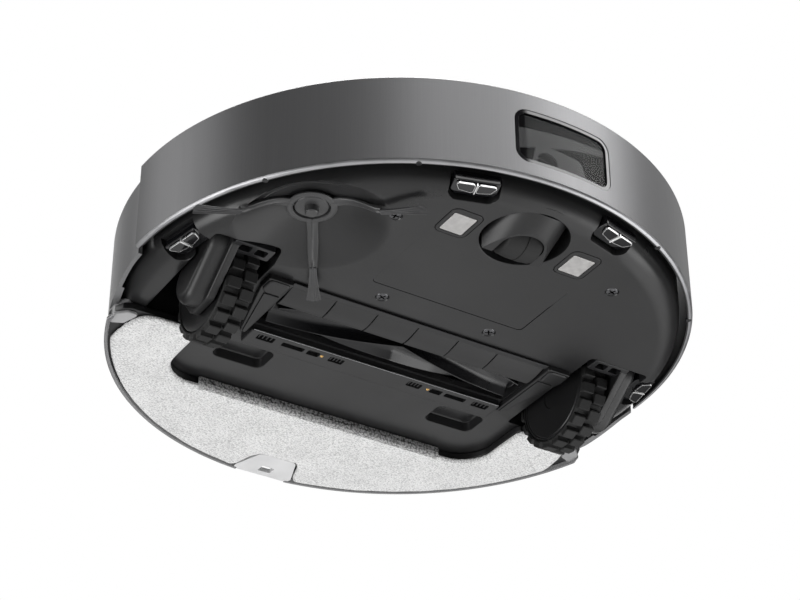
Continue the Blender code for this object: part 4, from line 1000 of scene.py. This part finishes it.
def make_flap():
    """The rubber lip in front of the brush, split into six by slits."""
    line = [(-27.4, -9.4), (-23.0, -10.3), (-18.6, -11.0), (-14.6, -11.4), (-11.0, -11.3), (-8.6, -10.9)]
    section = ([(y, RIM + z) for y, z in line]
               + [(y - 0.4 * i / 5, RIM + z + 1.3 - 0.5 * i / 5) for i, (y, z) in list(enumerate(line))[::-1]])
    cuts = [-87.8, -58.0, -30.0, -2.0, 26.0, 54.0, 87.8]
    petals = []
    for x0, x1 in zip(cuts, cuts[1:]):
        petals.append(layered("petal", section, [(x0 + 0.35, -0.2), (x0 + 0.6, 0.0), (x1 - 0.6, 0.0),
                                                 (x1 - 0.35, -0.2)], on_side(1)))
    root = [(y, RIM + z) for y, z in ((-27.4, -9.0), (-24.6, -9.3), (-24.6, -8.5), (-27.4, -8.2))]
    petals.append(layered("root", root, [(-87.8, 0.0), (87.8, 0.0)], on_side(1)))
    as_piece("guard_flap_petals", joined(*petals), "cover", "guard", "rubber_black", "guard_flap")


SIDE_BRUSH_ANGLES = (59.0, 170.0, -52.0)


def swept(name, path, widths, thicks, place):
    """A ribbon along (radius, height) points, with its width and thickness at each."""
    bm = bmesh.new()
    rings = []
    for i, ((x, z), width, thick) in enumerate(zip(path, widths, thicks)):
        before, after = path[max(i - 1, 0)], path[min(i + 1, len(path) - 1)]
        along = Vector((after[0] - before[0], after[1] - before[1])).normalized()
        normal = Vector((-along.y, along.x))
        section = ((-width / 2, 0.15), (-width / 2 + 0.4, -0.1), (-0.8, -0.15), (0.0, -0.5), (0.8, -0.15),
                   (width / 2 - 0.4, -0.1), (width / 2, 0.15), (width / 2 - 0.3, 1.0), (-width / 2 + 0.3, 1.0))
        rings.append([bm.verts.new((x + normal.x * up * thick, y, z + normal.y * up * thick))
                      for y, up in section])
    for a, b in zip(rings, rings[1:]):
        for k in range(len(a)):
            m = (k + 1) % len(a)
            bm.faces.new((a[k], a[m], b[m], b[k]))
    bm.faces.new(rings[0])
    bm.faces.new(rings[-1][::-1])
    bm.transform(place)
    return mesh_from(bm, name)


def make_side_brush():
    x, y = SIDE_BRUSH
    flange = [(10.6, 5.4), (10.3, 3.0), (10.6, 1.9), (11.6, 1.5), (13.4, 1.6), (14.3, 2.2), (14.2, 3.0),
              (12.6, 3.7), (11.6, 4.4), (11.4, 8.6), (10.6, 8.6)]
    shaft = span("side_brush_motor")[0].z - RIM
    core = [(0.0, shaft - 0.5), (3.2, shaft - 0.5), (3.8, shaft), (4.0, 2.0), (7.4, 2.0), (9.2, 2.4),
            (10.2, 3.4), (10.4, 9.0), (0.0, 9.0)]
    centre = lathe("core", [(r, RIM + z) for r, z in core], 56, place=moved(x, y))
    as_piece("side_brush_core", centre, "soft_grey", "side_brush_rotor", "grey_rubber")
    parts = [lathe("hub", [(r, RIM + z) for r, z in flange], 72, place=moved(x, y))]
    arm = [(10.5, 2.2), (14.0, 2.0), (18.0, 1.5), (22.0, 0.2), (26.5, -1.9), (31.0, -4.6), (35.0, -7.4),
           (38.4, -9.7), (41.2, -10.6)]
    widths = [8.4, 7.0, 6.6, 6.4, 6.4, 6.2, 6.0, 5.6, 5.0]
    thicks = [1.6, 1.5, 1.5, 1.4, 1.4, 1.4, 1.5, 2.0, 2.2]
    for number, angle in enumerate(SIDE_BRUSH_ANGLES, 1):
        place = moved(x, y, 0.0, angle)
        parts.append(swept("arm", [(r, RIM + z) for r, z in arm], widths, thicks, place))
        as_piece(f"bristles_{number}", tuft(place), "bristle", "side_brush_rotor", "grey_rubber",
                 f"side_brush_tuft_{number}", flat_faces=False)
    as_piece("side_brush_hub", joined(*parts), "soft_grey", "side_brush_rotor", "grey_rubber", "side_brush")


def tuft(place, count=17):
    """A fan of thin bristles from the end of an arm."""
    bristles = []
    for i in range(count):
        share = 2.0 * i / (count - 1) - 1.0
        layer = (i * 7 % 5 - 2) * 0.22
        line = [(40.2, share * 1.7, -10.6 + layer), (48.0, share * 2.1, -12.3 + layer),
                (57.0, share * 2.9, -13.9 + layer),
                (67.4 - abs(share) * 1.2, share * 4.1, -15.6 + layer * 0.7)]
        bm = bmesh.new()
        rings = []
        for k, (r, across, z) in enumerate(line):
            half = 0.30 - 0.04 * k
            rings.append([bm.verts.new((r, across + dy * half, RIM + z + dz * half))
                          for dy, dz in ((-1, -1), (1, -1), (1, 1), (-1, 1))])
        for a, b in zip(rings, rings[1:]):
            for k in range(4):
                bm.faces.new((a[k], a[(k + 1) % 4], b[(k + 1) % 4], b[k]))
        bm.faces.new(rings[0])
        bm.faces.new(rings[-1][::-1])
        bm.transform(place)
        bristles.append(mesh_from(bm, "bristle"))
    return joined(*bristles)


# ---------------------------------------------------------------- caster

def make_caster():
    """A hooded fork: a barrel that leans to the rear, with an arched mouth for the roller."""
    x, y = CASTER
    low, high = span("caster_wheel")
    middle = (low + high) / 2
    swivel = lathe("swivel", [(0.0, RIM + 12.6), (23.4, RIM + 12.6), (24.0, RIM + 12.0), (24.0, RIM - 12.4),
                              (0.0, RIM - 12.4)], 96, place=moved(x, y))
    lean = Matrix.Translation((0.0, -148.6, RIM + 13.6)) @ Matrix.Rotation(radians(-113.0), 4, "X")
    barrel = lathe("barrel", [(0.0, -60.0), (23.2, -60.0), (23.2, 60.0), (0.0, 60.0)], 128, place=lean)
    mouth_half = 12.8
    bend = mouth_half - 0.1
    front = low.y - 2.0
    mouth = rounded([(-mouth_half, front, bend), (mouth_half, front, bend), (mouth_half, -90.0, 0.0),
                     (-mouth_half, -90.0, 0.0)], 0.0, 12)
    hood = shaped(swivel, ("INTERSECT", barrel),
                  ("DIFFERENCE", layered("mouth", mouth, [(DRIVE - 8.0, 0.0), (RIM + 10.5, 0.0)])),
                  ("DIFFERENCE", block(-30.0, -120.0, DRIVE - 8.0, 30.0, -90.0, BASE + 1.5)))
    as_piece("caster_hood", bevelled(hood, 0.6, 3, 40.0), "cover", "caster", "chassis_black", "caster_fork")
    place = Matrix.Translation(middle) @ Matrix.Rotation(pi / 2, 4, "Y")
    half = 11.6
    r = (high.z - low.z) / 2
    tread = [(2.3, half), (r - 3.0, half), (r - 1.6, half - 0.6), (r - 0.7, half - 1.8), (r, half * 0.35),
             (r, 0.5), (r - 0.5, 0.2), (r - 0.5, -0.2), (r, -0.5),
             (r, -half * 0.35), (r - 0.7, 1.8 - half), (r - 1.6, 0.6 - half), (r - 3.0, -half), (2.3, -half)]
    as_piece("caster_roller_tread", lathe("roller", tread, 64, place=place), "rubber", "caster_roller",
             "rubber_black", "caster_wheel")


# ---------------------------------------------------------------- mop

NOTCH_HALF, NOTCH_Y, NOTCH_CORNER = 114.0, 91.0, 22.0


def crescent(radius, notch_y, front, inner_half, shoulder, start, tab=False, steps=90):
    """The mop's outline, anticlockwise from the right lobe's inner end."""
    a = degrees(atan2(start, sqrt(radius ** 2 - start ** 2)))
    rear = arc(0.0, 0.0, radius, a, 180.0 - a, steps)
    if tab:
        left_out = [(12.4, 147.4), (-12.4, 147.4)]
        right = [p for p in rear if p[0] > 21.6]
        left = [p for p in rear if p[0] < -21.6]
        scoop = [(22.6, 168.8), (20.4, 166.0), (18.6, 160.0), (16.4, 152.6), (13.6, 148.6)]
        rear = right + scoop + left_out + [(-px, py) for px, py in scoop[::-1]] + left
    corner_x, corner_y = inner_half - NOTCH_CORNER, notch_y - NOTCH_CORNER
    notch = (arc(-corner_x, corner_y, NOTCH_CORNER, 180.0, 90.0, 12)
             + arc(corner_x, corner_y, NOTCH_CORNER, 90.0, 0.0, 12))
    lobe = [(inner_half, front + 7.0), (inner_half + 2.0, front + 2.0), (inner_half + 7.0, front)] + shoulder
    return lobe + rear + [(-px, py) for px, py in lobe[::-1]] + notch


def make_mop_plate():
    low, high = PLATE_LOW, BASE - 0.3
    front = [(158.0, 37.2), (162.5, 39.8), (165.0, 45.2)]
    outline = crescent(173.6, NOTCH_Y + 2.4, 37.2, NOTCH_HALF, front, 52.0)
    plate = layered("plate", outline, edge_levels(low, high, 0.6, 0.6))
    tab = rounded([(21.0, 172.2), (12.2, 148.2), (-12.2, 148.2), (-21.0, 172.2)], 3.0)
    raised = layered("tab", tab, edge_levels(RIM - 15.5, low + 0.5, 0.9, 0.0))
    hole = layered("hole", rectangle(-4.4, 161.2, 4.4, 168.0, 0.8), [(RIM - 30.0, 0.0), (RIM + 2.0, 0.0)])
    behind = block(-9.0, 160.0, low - 0.05, 11.0, 180.0, high + 3.0)
    as_piece("mop_holder", shaped(plate, ("DIFFERENCE", hole), ("DIFFERENCE", behind)), "cover", "mop",
             "smoke_plastic", "mop_plate")
    skirt = layered("skirt", crescent(174.9, NOTCH_Y + 2.4, 37.2, NOTCH_HALF, front, 52.0),
                    [(RIM - 15.9, -0.5), (RIM - 15.5, 0.0), (low - 0.8, 0.0), (low + 0.3, -0.6)])
    inner = layered("inner", crescent(172.7, NOTCH_Y - 6.0, 20.0, NOTCH_HALF - 8.0, front, 52.0),
                    [(RIM - 20.0, 0.0), (RIM, 0.0)])
    gap = block(-18.0, 140.0, RIM - 20.0, 18.0, 190.0, low - 0.3)
    as_piece("mop_skirt", shaped(skirt, ("DIFFERENCE", inner), ("DIFFERENCE", gap)), "smoke", "mop",
             "smoke_plastic")
    as_piece("mop_tab", shaped(raised, ("DIFFERENCE", hole)), "tab", "mop", "smoke_plastic")
    for side, label in ((-1, "left"), (1, "right")):
        block_corners = [(152.0, 39.6), (159.0, 39.6), (165.6, 46.0), (165.0, 56.0), (156.0, 52.0)]
        corners = [(side * px, py) for px, py in block_corners][::side]
        corner = layered("corner", rounded(corners, 2.0), edge_levels(low - 1.8, high + 5.0, 1.0, 1.5))
        as_piece(f"mop_corner_{label}", corner, "frost", "mop", "smoke_plastic")


def pad_outline():
    shoulder = [(140.0, 35.6), (146.2, 37.0), (150.6, 40.6), (153.6, 46.4), (155.4, 53.6), (156.2, 61.6),
                (156.2, 67.0)]
    return crescent(171.6, NOTCH_Y + 1.0, 35.6, NOTCH_HALF, shoulder, 71.0, tab=True)


def softened(mesh, cell, period, height):
    """A cloth body: an even mesh, its edges relaxed, lifted and lowered in slow waves."""
    item = tool(mesh)
    even = item.modifiers.new("even", "REMESH")
    even.mode, even.voxel_size = "VOXEL", cell * MM
    relax = item.modifiers.new("relax", "SMOOTH")
    relax.factor, relax.iterations = 0.5, 2
    cloth = baked(item)
    for vertex in cloth.vertices:
        vertex.co.z += noise.noise(vertex.co / (period * MM)) * height * MM
    return cloth


def make_mop_pad():
    low, high = DRIVE, RIM - 13.2
    pad = layered("pad", pad_outline(), [(low, -1.9), (low + 0.15, -1.2), (low + 0.7, -0.5), (low + 1.5, 0.0),
                                         (high - 0.4, 0.0), (high, -0.3)])
    made = as_piece("mop_cloth", softened(pad, 1.3, 14.0, 0.28), "pad", "mop", "mop_fabric", "mop_pad",
                    flat_faces=False)
    # The upper strip: darker grey cloth, painted near black as well for the shade in the gap under the plate's
    # rear edge.
    upper = layered("upper", rectangle(-86.8, NOTCH_Y - 0.4, 86.8, NOTCH_Y + 1.9, 0.6),
                    edge_levels(RIM - 12.6, BASE - 0.5, 0.4, 0.4))
    as_piece("mop_cloth_fold", upper, "pad_grey_strip_and_shade", "mop", "mop_fabric")
    # The lower hem: the pad's cloth painted darker as shade on its face.
    lower = layered("lower", rectangle(-86.8, NOTCH_Y - 0.3, 86.8, NOTCH_Y + 3.9, 0.6),
                    [(DRIVE - 0.05, -2.4), (DRIVE + 0.2, -1.4), (DRIVE + 0.9, -0.5), (DRIVE + 2.0, 0.0),
                     (RIM - 12.7, 0.0)])
    as_piece("mop_cloth_hem", lower, "pad_painted_shade", "mop", "mop_fabric")


make_chassis()
make_bar_fittings()
make_screws()
make_contacts()
make_cliff_sensors()
make_wheel(-1, "left")
make_wheel(1, "right")
make_main_brush()
make_guard()
make_side_brush()
make_caster()
make_mop_plate()
make_mop_pad()


# ---------------------------------------------------------------- carried-over nodes

CARRIED = {
    "chassis": "base", "battery_door": "base", "battery_pack": "cell", "main_board": "board",
    "fan_housing": "black", "fan_impeller": "impeller", "brush_motor": "steel", "side_brush_motor": "steel",
    "dust_bin": "bin", "dust_filter": "filter", "water_tank": "smoke", "camera_module": "black",
    "lidar_base": "black", "suspension_pin": "steel", "wheel_spring": "steel", "wheel_motor": "dark_steel",
    "brush_core": "steel", "caster_axle": "steel", "screw": "dark_steel", "charge_contact": "nickel",
    "cliff_sensor": "gloss", "wheel_arm": "cover", "wheel_hub": "black", "tyre": "rubber",
    "brush_guard": "black", "guard_flap": "fin", "brush_fins": "fin", "side_brush": "soft_grey",
    "side_brush_tuft": "bristle", "caster_fork": "cover", "caster_wheel": "rubber", "mop_plate": "smoke",
    "mop_pad": "pad",
}


def look_of(node):
    """The longest entry of CARRIED that the node's name starts with."""
    found = [key for key in CARRIED if node.startswith(key)]
    return LOOK[CARRIED[max(found, key=len)]] if found else None


for node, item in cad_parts.items():
    if not item.hide_render:
        item.data.materials.clear()
        item.data.materials.append(look_of(node))


# ---------------------------------------------------------------- studio

# Each light's direction from the object in degrees, with the front at -90, and its power in watts.
LIGHTS = (
    ("key_right", -52.0, 34.0, 32.0), ("front", -100.0, 42.0, 15.0),
    ("low_right", -30.0, 5.0, 2.0), ("right", 10.0, 32.0, 3.0),
    ("rear", 80.0, 30.0, 5.0), ("left", 150.0, 28.0, 11.0),
    ("front_left", -148.0, 32.0, 1.6), ("under_left", 170.0, -30.0, 22.0),
    ("under_right", -20.0, -36.0, 14.0), ("under_back", 20.0, -40.0, 4.5),
    ("under_rear", 70.0, -30.0, 2.4), ("low_rear", 47.0, 8.0, 3.0),
    ("overhead", 90.0, 87.0, 75.0),
)
LIGHT_DISTANCE = 2.2
LIT_POINT = Vector((0.0, 0.0, 0.05))


def area_light(name, azimuth, elevation, power, size):
    """A soft square light, placed by its direction from the object. Azimuth -90 is the robot's front."""
    a, e = radians(azimuth), radians(elevation)
    data = bpy.data.lights.new(name, "AREA")
    data.shape, data.size, data.energy = "SQUARE", size, power
    lamp = bpy.data.objects.new(name, data)
    lamp.location = Vector((cos(a) * cos(e), sin(a) * cos(e), sin(e))) * LIGHT_DISTANCE + LIT_POINT
    lamp.rotation_euler = (LIT_POINT - lamp.location).to_track_quat("-Z", "Y").to_euler()
    bpy.context.scene.collection.objects.link(lamp)


def make_studio():
    floor = bpy.data.objects.new("studio_floor", lathe("studio_floor", [(0.0, 0.0), (9000.0, 0.0),
                                                                         (9000.0, -40.0), (0.0, -40.0)], 96))
    floor.location.z = -1.9
    bpy.context.scene.collection.objects.link(floor)
    pale = bpy.data.materials.new("studio_pale")
    pale.use_nodes = True
    pale.node_tree.nodes["Principled BSDF"].inputs["Base Color"].default_value = (0.86, 0.86, 0.86, 1.0)
    pale.node_tree.nodes["Principled BSDF"].inputs["Roughness"].default_value = 0.9
    floor.data.materials.append(pale)

    world = bpy.data.worlds.new("studio")
    bpy.context.scene.world = world
    world.use_nodes = True
    tree = world.node_tree
    seen = tree.nodes["Background"]
    seen.inputs["Color"].default_value = (1.0, 1.0, 1.0, 1.0)
    seen.inputs["Strength"].default_value = 1.0
    soft = tree.nodes.new("ShaderNodeBackground")
    soft.inputs["Color"].default_value = (1.0, 1.0, 1.0, 1.0)
    soft.inputs["Strength"].default_value = 0.04
    path = tree.nodes.new("ShaderNodeLightPath")
    mix = tree.nodes.new("ShaderNodeMixShader")
    tree.links.new(path.outputs["Is Camera Ray"], mix.inputs["Fac"])
    tree.links.new(soft.outputs[0], mix.inputs[1])
    tree.links.new(seen.outputs[0], mix.inputs[2])
    tree.links.new(mix.outputs[0], tree.nodes["World Output"].inputs["Surface"])

    for name, azimuth, elevation, power in LIGHTS:
        area_light(name, azimuth, elevation, power, 0.8 if name == "low_rear" else 1.3)
    bpy.context.scene.view_settings.view_transform = "Standard"
    bpy.context.scene.view_settings.look = "None"


def make_camera():
    data = bpy.data.cameras.new("photo_camera")
    data.lens, data.sensor_width = 96.2, 36.0
    camera = bpy.data.objects.new("photo_camera", data)
    right = Vector((0.85076, -0.52555, -0.00316))
    up = Vector((-0.28302, -0.46321, 0.83984))
    turn = Matrix((right, up, right.cross(up))).transposed()
    camera.matrix_world = Matrix.Translation((-0.57547, -0.92968, -0.64002)) @ turn.to_4x4()
    bpy.context.scene.collection.objects.link(camera)
    bpy.context.scene.camera = camera


make_studio()
make_camera()
